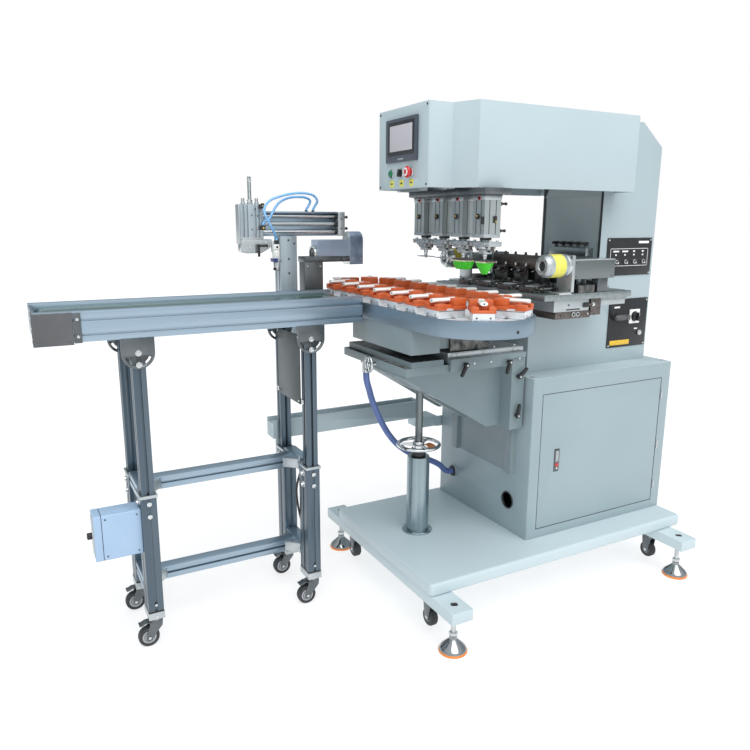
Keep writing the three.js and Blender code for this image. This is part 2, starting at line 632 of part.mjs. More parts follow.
// Cross-feed handwheel at the tip of the knee, turning about X
const crossWheel = { radius: 30, rim: 4, y: 345, z: -15, hub: 9, shaft: 6, stand: 34 };
{
  const tip = knee.tip - gap;
  const centre = tip - crossWheel.stand;
  const rim = new THREE.TorusGeometry(crossWheel.radius - crossWheel.rim, crossWheel.rim, 6, 12);
  rim.rotateY(Math.PI / 2);
  rim.translate(centre, crossWheel.y, tableTop + crossWheel.z);
  const spokes = [0, 1].map((i) => {
    const reach = crossWheel.radius - crossWheel.rim;
    return i ? rod('z', crossWheel.rim - 1, tableTop + crossWheel.z - reach,
      tableTop + crossWheel.z + reach, centre, crossWheel.y, 6)
      : rod('y', crossWheel.rim - 1, crossWheel.y - reach, crossWheel.y + reach, centre,
        tableTop + crossWheel.z, 6);
  });
  addPiece('cross_handwheel', join(solid(rim), spokes,
    rod('x', crossWheel.hub, centre - crossWheel.hub, centre + crossWheel.hub, crossWheel.y,
      tableTop + crossWheel.z, 10),
    rod('x', crossWheel.shaft, centre, tip, crossWheel.y, tableTop + crossWheel.z, 8)), 'chrome');
}

// Saddle: slides along X on the knee; its aprons hang over both cheeks
const saddle = { left: 151, right: 470, apronRight: 405, thick: 19, apron: 13, drop: 25 };
const saddleTop = tableTop + gap + saddle.thick;
{
  const x0 = saddle.left;
  const x1 = saddle.right;
  const y0 = knee.near - gap - saddle.apron;
  const y1 = knee.far + gap + saddle.apron;
  const z0 = tableTop - saddle.drop;
  const slide = block(x0, x1, y0, y1, tableTop + gap, saddleTop);
  const aprons = block(x0, saddle.apronRight, y0, y1, z0, saddleTop);
  const channel = block(x0 - overrun, x1 + overrun, knee.near - gap, knee.far + gap, z0 - overrun,
    tableTop + gap);
  addPiece('saddle', join(slide, cut(aprons, channel)), 'paint');
}

// Table: slides along Y on the saddle and holds the housing and the index gearbox under the track
const table = {
  thick: 17, inset: 8, housingLeft: -18, housingRight: 90, housingNear: 120, housingFar: 530,
  housingBottom: 50, gearLeft: 165, gearRight: 335, gearNear: 175, gearFar: 585, gearWaist: 30, pillar: 24,
};
const rim = { height: 54, wall: 8, lip: 4 };
const trackBottom = trackTop - rim.height;
{
  const z0 = saddleTop + gap;
  const top = z0 + table.thick;
  const seat = trackBottom - gap;
  const plate = block(saddle.left, saddle.right, knee.near + table.inset, knee.far - table.inset, z0, top);
  const housing = block(table.housingLeft, table.housingRight, table.housingNear, table.housingFar,
    tableTop + table.housingBottom, seat);
  const foot = block(table.housingRight - overrun, table.gearLeft + overrun,
    table.housingNear + 2 * table.gearWaist,
    table.housingFar - table.gearWaist, tableTop + table.housingBottom, seat - gap);
  const gearbox = block(table.gearLeft, table.gearRight, table.gearNear + table.gearWaist,
    table.gearFar - table.gearWaist, top - gap, seat);
  const pillars = [table.gearNear, table.gearFar - table.pillar].map((y) =>
    block(table.gearRight - 2 * table.pillar, table.gearRight - table.pillar, y, y + table.pillar,
      top - gap, seat));
  addPiece('table_housing', join(plate, housing, foot, gearbox, pillars), 'paint');
}

// Oval track: rim and deck with the chain channel below the slot
const chainRadius = arcPitches * colourPitch / Math.PI;
const straight = straightPitches * colourPitch;
const rimReach = 65.4;
const trackRadius = chainRadius + rimReach;
const trackX = 158;
const arcNearY = lineY - straight / 2;
const arcFarY = lineY + straight / 2;
const slot = { half: 6, chainHalf: 16, floor: 15, roof: 12, clearance: 1.2, tail: 6 };
const deckTop = trackTop - rim.lip;
const channelBottom = trackBottom + slot.floor;
const channelTop = deckTop - slot.roof;

function ovalRing(half, z0, z1, steps) {
  return cut(
    plateZ(ovalOutline(trackX, arcNearY, arcFarY, chainRadius + half), z0, z1, steps),
    plateZ(ovalOutline(trackX, arcNearY, arcFarY, chainRadius - half), z0 - overrun, z1 + overrun, steps),
  );
}

{
  const arcSteps = 8;
  const body = plateZ(ovalOutline(trackX, arcNearY, arcFarY, trackRadius), trackBottom, trackTop, arcSteps);
  const tray = plateZ(ovalOutline(trackX, arcNearY, arcFarY, trackRadius - rim.wall), deckTop,
    trackTop + overrun, arcSteps);
  const channel = ovalRing(slot.chainHalf + slot.clearance, channelBottom, channelTop, arcSteps);
  const slit = ovalRing(slot.half, channelTop - overrun, trackTop + overrun, arcSteps);
  const rimHole = rod('y', 5, arcNearY - trackRadius - overrun, arcNearY - trackRadius + 2 * rim.wall,
    trackX + trackRadius * 0.09, trackBottom + rim.height * 0.35, 12);
  addPiece('oval_track', cut(body, tray, channel, slit, rimHole), 'aluminium');
}

// Carriers: a chain strip with one jig per pitch; each jig holds a lighter between two clamp jaws
const jig = {
  inner: 64, outer: 172, width: 72, baseWidth: 64, baseEnd: 168, baseBottom: -3.4, baseTop: 25, jawTop: 46,
  clampTop: 40, innerJaw: 46, waist: 44, waistLength: 26, neckHalfX: 4, neckHalfY: 4,
};
const lighter = { width: 25, height: 13, length: 82, restZ: 49, start: 86, sides: 8 };

// One jig pointing along +X from the origin of its turn; height along Z
function carrierJig() {
  const half = jig.width / 2;
  const baseHalf = jig.baseWidth / 2;
  const jawEnd = jig.inner + jig.innerJaw;
  const waistEnd = jawEnd + jig.waistLength;
  const base = block(jig.inner + overrun, jig.baseEnd, -baseHalf, baseHalf, trackTop + jig.baseBottom,
    trackTop + jig.baseTop);
  const jaw = block(jig.inner, jawEnd, -half, half, trackTop + jig.baseTop - gap, trackTop + jig.jawTop);
  const clamp = plateZ(outline([
    [jawEnd - gap, -jig.waist / 2], [waistEnd - overrun, -jig.waist / 2], [waistEnd, -half],
    [jig.outer - overrun, -half],
    [jig.outer - overrun, half], [waistEnd, half], [waistEnd - overrun, jig.waist / 2],
    [jawEnd - gap, jig.waist / 2],
  ]), trackTop + jig.baseTop - gap, trackTop + jig.clampTop);
  const body = solid(new THREE.CylinderGeometry(lighter.width / 2, lighter.width / 2, lighter.length,
    lighter.sides)
    .rotateZ(Math.PI / 2)
    .scale(1, 1, lighter.height / lighter.width)
    .translate(lighter.start + lighter.length / 2, 0, trackTop + lighter.restZ));
  const neck = block(chainRadius - jig.neckHalfX, chainRadius + jig.neckHalfX, -jig.neckHalfY,
    jig.neckHalfY,
    channelTop - slot.roof, trackTop + jig.baseBottom + gap);
  return join(base, jaw, clamp, body, neck);
}

const chainZ0 = channelBottom + slot.clearance;
const chainZ1 = channelTop - slot.clearance;

function run(side, firstY) {
  const turn = side > 0 ? 0 : 180;
  const jigs = Array.from({ length: straightPitches }, (_, i) =>
    carrierJig().rotate([0, 0, turn]).translate([trackX, firstY + i * colourPitch, 0]));
  const lastY = firstY + (straightPitches - 1) * colourPitch;
  const x = trackX + side * chainRadius;
  const strip = block(x - slot.chainHalf, x + slot.chainHalf, firstY - slot.tail, lastY + slot.tail,
    chainZ0, chainZ1);
  return join(strip, jigs);
}

function arc(centreY, firstDegrees) {
  const stepDegrees = 180 / arcPitches;
  const jigs = Array.from({ length: arcPitches }, (_, i) =>
    carrierJig().rotate([0, 0, firstDegrees + i * stepDegrees]).translate([trackX, centreY, 0]));
  const spare = slot.tail / chainRadius;
  const a0 = firstDegrees * Math.PI / 180 - spare;
  const a1 = a0 + 2 * spare + (arcPitches - 1) * stepDegrees * Math.PI / 180;
  const band = new THREE.Shape();
  band.absarc(trackX, centreY, chainRadius + slot.chainHalf, a0, a1, false);
  band.absarc(trackX, centreY, chainRadius - slot.chainHalf, a1, a0, true);
  return join(plateZ(band, chainZ0, chainZ1, 6), jigs);
}

addPiece('carriers_front_run', run(-1, arcNearY + colourPitch), 'orange');
addPiece('carriers_print_run', run(1, arcNearY), 'orange');
addPiece('carriers_near_turn', arc(arcNearY, 180), 'orange');
addPiece('carriers_far_turn', arc(arcFarY, 0), 'orange');

// Clamp levers: a hub on a short spindle and a tapered handle
const lever = { hub: 9, hubDepth: 18, spindle: 6, spindleDepth: 6, length: 40, root: 6, tip: 4.5 };

function clampLever(x, z, face, degrees) {
  const a = degrees * Math.PI / 180;
  const across = [Math.sin(a), -Math.cos(a)];
  const along = [Math.cos(a), Math.sin(a)];
  const corner = (r, s) => [x + along[0] * r + across[0] * s, z + along[1] * r + across[1] * s];
  const handle = plateY(outline([corner(0, lever.root), corner(lever.length, lever.tip),
    corner(lever.length, -lever.tip), corner(0, -lever.root)]), face - lever.hubDepth,
    face - lever.spindleDepth);
  return join(handle, rod('y', lever.hub, face - lever.hubDepth, face - lever.spindleDepth, x, z, 14),
    rod('y', lever.spindle, face - lever.hubDepth, face - gap, x, z, 12),
    rod('y', lever.tip, face - lever.hubDepth, face - lever.spindleDepth,
      x + along[0] * lever.length, z + along[1] * lever.length, 12));
}

const apronFace = knee.near - gap - saddle.apron;
const leverPlaces = { leftX: 205, leftZ: -3, rightX: 389, rightZ: -9 };
addPiece('saddle_lock_left', clampLever(leverPlaces.leftX, tableTop + leverPlaces.leftZ, apronFace, 242),
  'black');
addPiece('saddle_lock_right', clampLever(leverPlaces.rightX, tableTop + leverPlaces.rightZ, apronFace, 252),
  'black');
addPiece('knee_lock_upper', clampLever(knee.lockX, tableTop + knee.upperLockZ, knee.near, 40), 'black');
addPiece('knee_lock_lower', clampLever(knee.lockX, tableTop + knee.lowerLockZ, knee.near, 82), 'black');

// Pad carriage: plate on two guide shafts with four square cylinders below
const carriage = { left: 225, right: 330, thick: 20, under: 2, overhang: 50, bearing: 26, bearingLength: 90,
  bearingShare: 0.201521 };
const cylinder = { half: 32, bottom: 226, groove: 5, grooveDepth: 4, cap: 8 };
const padX = trackX + chainRadius;
const padYs = Array.from({ length: colours }, (_, i) => arcNearY + (i + 1) * colourPitch);
const carriageTop = armBottom - carriage.under;
const carriageBottom = carriageTop - carriage.thick;

{
  const plate = block(carriage.left, carriage.right, padYs[0] - carriage.overhang,
    padYs[colours - 1] + carriage.overhang, carriageBottom, carriageTop);
  const bodies = padYs.map((y) => {
    const h = cylinder.half;
    const tube = block(padX - h, padX + h, y - h, y + h, trackTop + cylinder.bottom, carriageBottom + gap);
    const waist = [-1, 1].flatMap((s) => [
      block(padX + s * h - cylinder.grooveDepth, padX + s * h + cylinder.grooveDepth, y - cylinder.groove,
        y + cylinder.groove, trackTop + cylinder.bottom + cylinder.cap, carriageBottom - cylinder.cap),
      block(padX - cylinder.groove, padX + cylinder.groove, y + s * h - cylinder.grooveDepth,
        y + s * h + cylinder.grooveDepth, trackTop + cylinder.bottom + cylinder.cap,
        carriageBottom - cylinder.cap),
    ]);
    return cut(tube, waist);
  });
  const bearings = shaftYs.map((y) => block(padX - carriage.bearingLength / 2,
    padX + carriage.bearingLength / 2,
    y - carriage.bearing, y + carriage.bearing, carriageTop - gap, inHead(carriage.bearingShare)));
  const bores = shaftYs.map((y) => rod('x', shaft.radius + gap, carriage.left, carriage.right, y,
    inHead(shaft.share), 14));
  const rodBores = padYs.map((y) => rod('z', 12 + gap, trackTop + cylinder.bottom - overrun,
    carriageBottom - 2 * cylinder.cap, padX, y, 12));
  addPiece('pad_carriage', cut(join(plate, bodies, bearings), bores, rodBores), 'aluminium');
}

// Pad rams: piston rod, cross plate, neck, holder and the silicone pad
const ram = { rod: 12, rodTop: -57, plateTop: 215, plateBottom: 200, plateHalfX: 26, plateHalfY: 52,
  neckHalf: 16,
  neckBottom: 177, stem: 7, holderTop: 155, holderBottom: 149, holderHalfX: 17, holderHalfY: 36 };
const pad = { bottom: 107, topHalfX: 26, topHalfY: 34, bottomHalfX: 9, bottomHalfY: 17, bell: 8 };

function siliconePad(y) {
  const rings = [[0, 1], [0.35, 0.97], [0.7, 0.72], [0.92, 0.3], [1, 0.04]];
  const sides = 12;
  const points = [];
  const height = trackTop + ram.holderBottom - (trackTop + pad.bottom);
  rings.forEach(([down, keep]) => {
    for (let i = 0; i < sides; i += 1) {
      const a = 2 * Math.PI * i / sides;
      const hx = pad.bottomHalfX + (pad.topHalfX - pad.bottomHalfX) * keep;
      const hy = pad.bottomHalfY + (pad.topHalfY - pad.bottomHalfY) * keep;
      points.push(padX + hx * Math.cos(a), y + hy * Math.sin(a),
        trackTop + ram.holderBottom + gap - down * height);
    }
  });
  const top = points.length / 3;
  points.push(padX, y, trackTop + ram.holderBottom + gap, padX, y, trackTop + pad.bottom);
  const faces = [];
  for (let k = 0; k < rings.length - 1; k += 1) {
    for (let i = 0; i < sides; i += 1) {
      const j = (i + 1) % sides;
      const [a, b, c, d] = [k * sides + i, k * sides + j, (k + 1) * sides + j, (k + 1) * sides + i];
      faces.push(a, d, b, b, d, c);
    }
  }
  const last = (rings.length - 1) * sides;
  for (let i = 0; i < sides; i += 1) {
    const j = (i + 1) % sides;
    faces.push(top, i, j, top + 1, last + j, last + i);
  }
  const geometry = new THREE.BufferGeometry();
  geometry.setAttribute('position', new THREE.Float32BufferAttribute(points, 3));
  geometry.setIndex(faces);
  return solid(geometry);
}

padYs.forEach((y, i) => {
  const pieces = [
    rod('z', ram.rod, trackTop + ram.plateTop - gap, armBottom + ram.rodTop, padX, y, 12),
    block(padX - ram.plateHalfX, padX + ram.plateHalfX, y - ram.plateHalfY, y + ram.plateHalfY,
      trackTop + ram.plateBottom, trackTop + ram.plateTop),
    block(padX - ram.neckHalf, padX + ram.neckHalf, y - ram.neckHalf, y + ram.neckHalf,
      trackTop + ram.neckBottom, trackTop + ram.plateBottom + gap),
    rod('z', ram.stem, trackTop + ram.holderTop - gap, trackTop + ram.neckBottom + gap, padX, y, 8),
    block(padX - ram.holderHalfX, padX + ram.holderHalfX, y - ram.holderHalfY, y + ram.holderHalfY,
      trackTop + ram.holderBottom, trackTop + ram.holderTop),
  ];
  const fitted = i < colours / 2;
  if (fitted) pieces.push(siliconePad(y));
  addPiece(`pad_ram_${i + 1}`, join(pieces), fitted ? 'silicone' : 'steel');
});

// Ink bench: long plate on a cross block, with four ink plates, carried by the column block
const bench = { left: 440, right: 845, near: 30, far: 680, thick: 21, blockLeft: 500, blockRight: 660,
  blockNear: 48,
  blockFar: 662, railTop: -63, railInset: 8, plateHalfX: 90, plateHalfY: 39, plateX: 545, plateThick: 8,
    cup: 30, cupDepth: 3 };
{
  const underside = benchTop - bench.thick;
  const plate = block(bench.left, bench.right, bench.near, bench.far, underside, benchTop);
  const crossBlock = block(bench.blockLeft, bench.blockRight, bench.blockNear, bench.blockFar,
    benchTop + bench.railTop, underside + gap);
  const rail = block(bench.blockLeft + bench.railInset, bench.blockRight + bench.railInset, bench.blockNear,
    bench.blockFar, benchTop + column.blockTop + gap, benchTop + bench.railTop + gap);
  const riser = block(bench.blockRight, column.left - gap, column.near, column.far,
    benchTop + column.blockTop + gap, underside + gap);
  const inkPlates = padYs.map((y) => block(bench.plateX - bench.plateHalfX, bench.plateX + bench.plateHalfX,
    y - bench.plateHalfY, y + bench.plateHalfY, benchTop - gap, benchTop + bench.plateThick));
  const wells = padYs.map((y) => block(bench.plateX, bench.plateX + bench.plateHalfX - bench.railInset,
    y - bench.cup, y + bench.cup, benchTop + bench.plateThick - bench.cupDepth,
    benchTop + bench.plateThick + overrun));
  addPiece('ink_bench', cut(join(plate, crossBlock, rail, riser, inkPlates), wells), 'steel');
}

// Doctor carriage: a lugged bar over the ink plates on two side feet that slide on the bench
const doctor = {
  left: 636, right: 664, near: 100, far: 560, bottom: 63, top: 113, lugs: 8, lug: 6, lugHeight: 11,
  footLeft: 618, footRight: 700, footThick: 14, arm: 12, bladeHalf: 38, bladeThick: 4, bladeBottom: 10,
};
{
  const feetZ = benchTop + gap;
  const bar = block(doctor.left, doctor.right, doctor.near, doctor.far, benchTop + doctor.bottom,
    benchTop + doctor.top);
  const lugs = Array.from({ length: doctor.lugs }, (_, i) => rod('z', doctor.lug,
    benchTop + doctor.top - gap,
    benchTop + doctor.top + doctor.lugHeight, (doctor.left + doctor.right) / 2,
    padYs[0] + i * colourPitch / 2, 10));
  const feet = [doctor.near - doctor.arm, doctor.far].flatMap((y) => [
    block(doctor.left, doctor.right, y, y + doctor.arm, feetZ, benchTop + doctor.top),
    block(doctor.footLeft, doctor.footRight, y, y + doctor.arm, feetZ, feetZ + doctor.footThick),
  ]);
  const blades = padYs.map((y) => block(doctor.left - doctor.bladeThick, doctor.left + gap,
    y - doctor.bladeHalf,
    y + doctor.bladeHalf, benchTop + doctor.bladeBottom, benchTop + doctor.bottom + 4 * doctor.bladeThick));
  addPiece('doctor_carriage', join(bar, lugs, feet, blades), 'steel');
}

// Ink drive motors at both ends of the bench, each on an upright plate with a belt cover behind
const motor = {
  radius: 39, cap: 36, left: 436, right: 540, z: 94, nearY: 50, farY: 622, plateThick: 12, plateHalf: 36,
  plateTop: 129, boxLength: 190, boxHalf: 30, boxBottom: 49, boxTop: 115, footLeft: 488, footThick: 8, waist: 3,
};
function driveMotor(y) {
  const bodyStart = motor.left + 4 * motor.waist;
  const plateX1 = motor.right + motor.plateThick;
  return join(
    turned('x', [[0, motor.left], [motor.cap * 0.8, motor.left], [motor.cap, bodyStart - motor.waist],
      [motor.cap, bodyStart], [motor.radius, bodyStart], [motor.radius, motor.right + gap],
      [0, motor.right + gap]],
    y, benchTop + motor.z, 16),
    block(motor.right, plateX1, y - motor.plateHalf, y + motor.plateHalf, benchTop + gap,
      benchTop + motor.plateTop),
    block(motor.footLeft, plateX1 - gap, y - motor.plateHalf, y + motor.plateHalf, benchTop + gap,
      benchTop + gap + motor.footThick),
    block(plateX1 - gap, plateX1 + motor.boxLength, y - motor.boxHalf, y + motor.boxHalf,
      benchTop + motor.boxBottom, benchTop + motor.boxTop),
  );
}
addPiece('ink_motor_near', driveMotor(motor.nearY), 'steel');
addPiece('ink_motor_far', driveMotor(motor.farY), 'steel');

// Conveyor frame: two slotted side rails, slider bed, end plates, tilt brackets and four upper legs
const rail = { thick: 30, height: 89, nearOffset: 31, width: 293, groove: 8, grooveDepth: 6 };
rail.near = lineY + rail.nearOffset;
rail.far = rail.near + rail.width;
const legs = { leftInset: 275, rightInset: 194, half: 20, inset: 2, insertion: 228 };
legs.leftX = conveyorLeft + legs.leftInset;
legs.rightX = conveyorRight - legs.rightInset;
legs.near = rail.near + legs.inset;
legs.far = rail.far - legs.inset - 2 * legs.half;
const socket = { halfX: 24, depth: 74, wall: 3.5, top: 528, bottom: 122, lip: 4, lipHeight: 5 };
legs.bottom = socket.top - legs.insertion;
const tilt = { halfWidth: 49, bottom: -183, thick: 5, reach: 50, slotRadius: 36, slotHalf: 4 };
const sidePanel = { bottom: -369, top: -126, thick: 4, offset: 27, tab: 20 };
const bed = { drop: 12, thick: 4, driveLength: 118, driveProud: 4 };
const railBottom = conveyorTop - rail.height;
const upperSize = 2 * legs.half;

function slottedRail(y0) {
  const y1 = y0 + rail.thick;
  const section = outline([
    [y0, railBottom], [y1, railBottom], [y1, conveyorTop], [y0, conveyorTop],
    ...[0.72, 0.28].flatMap((share) => {
      const z = railBottom + rail.height * share;
      return [[y0, z + rail.groove / 2], [y0 + rail.grooveDepth, z + rail.groove / 2],
        [y0 + rail.grooveDepth, z - rail.groove / 2], [y0, z - rail.groove / 2]];
    }),
  ]);
  return plateX(section, conveyorLeft, conveyorRight);
}

function slottedLeg(x, y0, z0, z1) {
  const h = legs.half;
  const slotHalf = 4;
  const slotDepth = 5;
  const y1 = y0 + upperSize;
  const body = block(x - h, x + h, y0, y1, z0, z1);
  return cut(body,
    block(x - slotHalf, x + slotHalf, y0 - overrun, y0 + slotDepth, z0 - overrun, z1 + overrun),
    block(x - slotHalf, x + slotHalf, y1 - slotDepth, y1 + overrun, z0 - overrun, z1 + overrun),
    block(x - h - overrun, x - h + slotDepth, y0 + h - slotHalf, y0 + h + slotHalf, z0 - overrun,
      z1 + overrun),
    block(x + h - slotDepth, x + h + overrun, y0 + h - slotHalf, y0 + h + slotHalf, z0 - overrun,
      z1 + overrun));
}

function tiltBracket(x, y0) {
  const shape = new THREE.Shape();
  const w = tilt.halfWidth;
  const centreZ = conveyorTop + tilt.bottom + w;
  shape.moveTo(x - w, railBottom + gap);
  shape.lineTo(x - w, centreZ);
  shape.absarc(x, centreZ, w, Math.PI, 2 * Math.PI);
  shape.lineTo(x + w, railBottom + gap);
  const curved = new THREE.Path();
  const start = Math.PI + 0.35;
  const end = 2 * Math.PI - 0.35;
  curved.absarc(x, centreZ, tilt.slotRadius + tilt.slotHalf, start, end, false);
  curved.absarc(x, centreZ, tilt.slotRadius - tilt.slotHalf, end, start, true);
  shape.holes.push(curved);
  return plateY(shape, y0, y0 + tilt.thick, 3);
}

{
  const rails = [slottedRail(rail.near), slottedRail(rail.far - rail.thick)
    .mirror([0, 1, 0]).translate([0, 2 * rail.far - rail.thick, 0])];
  const bedTop = conveyorTop - bed.drop - 2 * gap;
  const slider = block(conveyorLeft + bed.driveLength, conveyorRight - bed.driveLength / 2,
    rail.near + rail.thick - gap,
    rail.far - rail.thick + gap, bedTop - bed.thick, bedTop);
  const ties = [legs.leftX, legs.rightX].map((x) => block(x - legs.half, x + legs.half,
    rail.near + rail.thick - gap,
    rail.far - rail.thick + gap, railBottom, railBottom + bed.drop));
  const drive = block(conveyorLeft - bed.driveProud, conveyorLeft + bed.driveLength,
    rail.near - bed.driveProud,
    rail.near + gap, railBottom - bed.driveProud, conveyorTop - bed.driveProud);
  const uprights = [legs.leftX, legs.rightX].flatMap((x) => [legs.near, legs.far].map((y) =>
    slottedLeg(x, y, legs.bottom, railBottom + gap)));
  const brackets = [legs.leftX, legs.rightX].flatMap((x) => [
    tiltBracket(x, legs.near - tilt.thick + gap), tiltBracket(x, legs.far + upperSize - gap)]);
  const bolts = [legs.leftX, legs.rightX].flatMap((x) => [0, -tilt.slotRadius].map((drop) =>
    rod('y', 7, legs.near - 2 * tilt.thick, legs.near + gap, x,
      conveyorTop + tilt.bottom + tilt.halfWidth + drop, 6)));
  const panelX = legs.rightX - sidePanel.offset;
  const panel = block(panelX, panelX + sidePanel.thick, legs.near + upperSize, legs.far,
    conveyorTop + sidePanel.bottom, conveyorTop + sidePanel.top);
  const tabs = [conveyorTop + sidePanel.bottom + sidePanel.tab,
    conveyorTop + sidePanel.top - sidePanel.tab].flatMap((z) => [
    block(panelX, legs.rightX - legs.half + gap, legs.near + legs.half,
      legs.near + upperSize + sidePanel.tab, z - sidePanel.tab, z),
    block(panelX, legs.rightX - legs.half + gap, legs.far - sidePanel.tab, legs.far + legs.half,
      z - sidePanel.tab, z),
  ]);
  addPiece('conveyor_frame', join(rails, slider, ties, drive, uprights, brackets, bolts, panel, tabs),
    'aluminium');
}

// Belt: a closed loop round the two end drums
const belt = { thick: 3, drum: 26, endInset: 42, sideGap: 5, drumInset: 2, drumSides: 16, axle: 8,
  axleSides: 6, steps: 4 };
{
  const z = conveyorTop - bed.drop - belt.drum + belt.thick;
  const x0 = conveyorLeft + belt.endInset;
  const x1 = conveyorRight - belt.endInset;
  const y0 = rail.near + rail.thick + belt.sideGap;
  const y1 = rail.far - rail.thick - belt.sideGap;
  const capsule = (radius) => {
    const shape = new THREE.Shape();
    shape.absarc(x1, z, radius, -Math.PI / 2, Math.PI / 2);
    shape.absarc(x0, z, radius, Math.PI / 2, 1.5 * Math.PI);
    return shape;
  };
  const loop = cut(plateY(capsule(belt.drum), y0, y1, belt.steps),
    plateY(capsule(belt.drum - belt.thick), y0 - overrun, y1 + overrun, belt.steps));
  const drums = [x0, x1].map((x) => rod('y', belt.drum - belt.thick / 2, y0 + belt.drumInset,
    y1 - belt.drumInset,
    x, z, belt.drumSides));
  const axles = [x0, x1].map((x) => rod('y', belt.axle, rail.near + rail.thick + gap,
    rail.far - rail.thick - gap,
    x, z, belt.axleSides));
  addPiece('conveyor_belt', join(loop, drums, axles), 'belt');
}

// Stand: four socket legs, foot caps, cross rails with corner brackets and the side panel
const crossRail = { half: 22, upperDrop: 12, lowerRise: 66, middleOffset: 178, gusset: 46 };
const middleRailY = lineY + crossRail.middleOffset;
const crossRailZs = [socket.top - crossRail.upperDrop, socket.bottom + crossRail.lowerRise];
const capFoot = { height: 24, thick: 4 };

{
  const pieces = [];
  const bores = [];
  [legs.leftX, legs.rightX].forEach((x) => {
    [-1, 1].forEach((side) => {
      const y0 = side < 0 ? legs.near - socket.wall - gap : legs.far + upperSize + socket.wall + gap
      - socket.depth;
      const y1 = y0 + socket.depth;
      pieces.push(block(x - socket.halfX, x + socket.halfX, y0, y1, socket.bottom - capFoot.height,
        socket.top));
      pieces.push(block(x - socket.halfX - socket.lip, x + socket.halfX + socket.lip, y0 - socket.lip,
        y1 + socket.lip,
        socket.top - socket.lipHeight, socket.top));
      pieces.push(block(x - socket.halfX - capFoot.thick / 2, x + socket.halfX + capFoot.thick / 2,
        y0 - capFoot.thick / 2, y1 + capFoot.thick / 2, socket.bottom - capFoot.height, socket.bottom));
      const boreY = side < 0 ? legs.near : legs.far;
      bores.push(block(x - legs.half - gap, x + legs.half + gap, boreY - gap, boreY + upperSize + gap,
        socket.bottom, socket.top + overrun));
    });
    crossRailZs.forEach((z) => {
      const y0 = legs.near + socket.depth - socket.wall - 2 * gap;
      const y1 = legs.far + upperSize - socket.depth + socket.wall + 2 * gap;
      pieces.push(block(x - crossRail.half, x + crossRail.half, y0, y1, z - crossRail.half,
        z + crossRail.half));
    });
  });
  crossRailZs.forEach((z) => {
    pieces.push(block(legs.leftX, legs.rightX, middleRailY - crossRail.half, middleRailY + crossRail.half,
      z - crossRail.half, z + crossRail.half));
    // Corner gussets where the long rail meets the side rails
    [[legs.leftX + crossRail.half, 1], [legs.rightX - crossRail.half, -1]].forEach(([x, way]) => {
      [-1, 1].forEach((side) => {
        const y = middleRailY + side * crossRail.half;
        pieces.push(plateZ(outline([[x - way * gap, y - side * gap],
          [x + way * crossRail.gusset, y - side * gap],
          [x - way * gap, y + side * crossRail.gusset]]), z - crossRail.half / 2, z + crossRail.half / 2));
      });
    });
  });
  addPiece('stand_frame', cut(join(pieces), bores), 'aluminium');
}

// Swivel casters under the stand: fork with brake pedal, and wheel
const caster = { wheel: 34, width: 28, cheek: 3, trail: 26, headRadius: 24, headThick: 6, boltRadius: 10,
  pedal: 52,
  pedalWidth: 30, pedalThick: 4, axle: 6 };
const standBottom = socket.bottom - capFoot.height;
const casterPlaces = [
  ['left_near', legs.leftX, legs.near + upperSize / 2], ['left_far', legs.leftX, legs.far + upperSize / 2],
  ['right_near', legs.rightX, legs.near + upperSize / 2], ['right_far', legs.rightX,
    legs.far + upperSize / 2],
];

casterPlaces.forEach(([name, x, y]) => {
  const z = caster.wheel;
  const wheelX = x - caster.trail;
  const half = caster.width / 2;
  const headTop = standBottom - caster.boltRadius;
  const inner = half + 3 * gap;
  const cheekShape = outline([
    [wheelX - caster.axle * 2, z - caster.axle], [wheelX + caster.axle, z - caster.axle * 1.5],
    [x + caster.headRadius * 0.8, headTop], [x - caster.headRadius, headTop],
  ]);
  const cheeks = [[y - inner - caster.cheek, y - inner], [y + inner,
    y + inner + caster.cheek]].map(([a, b]) =>
    plateY(cheekShape, a, b));
  const roof = block(x - caster.headRadius, x + caster.headRadius * 0.8, y - inner - caster.cheek,
    y + inner + caster.cheek,
    headTop - caster.cheek, headTop);
  const head = rod('z', caster.headRadius, headTop - gap, headTop + caster.headThick, x, y, 12);
  const bolt = rod('z', caster.boltRadius, headTop, standBottom - gap, x, y, 8);
  const pedal = plateY(outline([
    [x - caster.headRadius + gap, headTop - caster.cheek], [x - caster.headRadius - caster.pedal * 0.6,
      headTop - caster.pedalThick * 2],
    [x - caster.headRadius - caster.pedal * 0.6, headTop - caster.pedalThick],
    [x - caster.headRadius + gap, headTop],
  ]), y - caster.pedalWidth / 2, y + caster.pedalWidth / 2);
  const axle = rod('y', caster.axle, y - inner - caster.cheek - gap, y + inner + caster.cheek + gap, wheelX,
    z, 6);
  addPiece(`caster_fork_${name}`, join(cheeks, roof, head, bolt, pedal, axle), 'steel');
  const tyre = turned('y', [
    [caster.axle + gap, y - half], [caster.wheel - 4, y - half], [caster.wheel, y - half + 5],
    [caster.wheel, y + half - 5], [caster.wheel - 4, y + half], [caster.axle + gap, y + half],
    [caster.axle + gap, y - half],
  ], wheelX, z, 18);
  addPiece(`caster_wheel_${name}`, tyre, 'rubber');
});

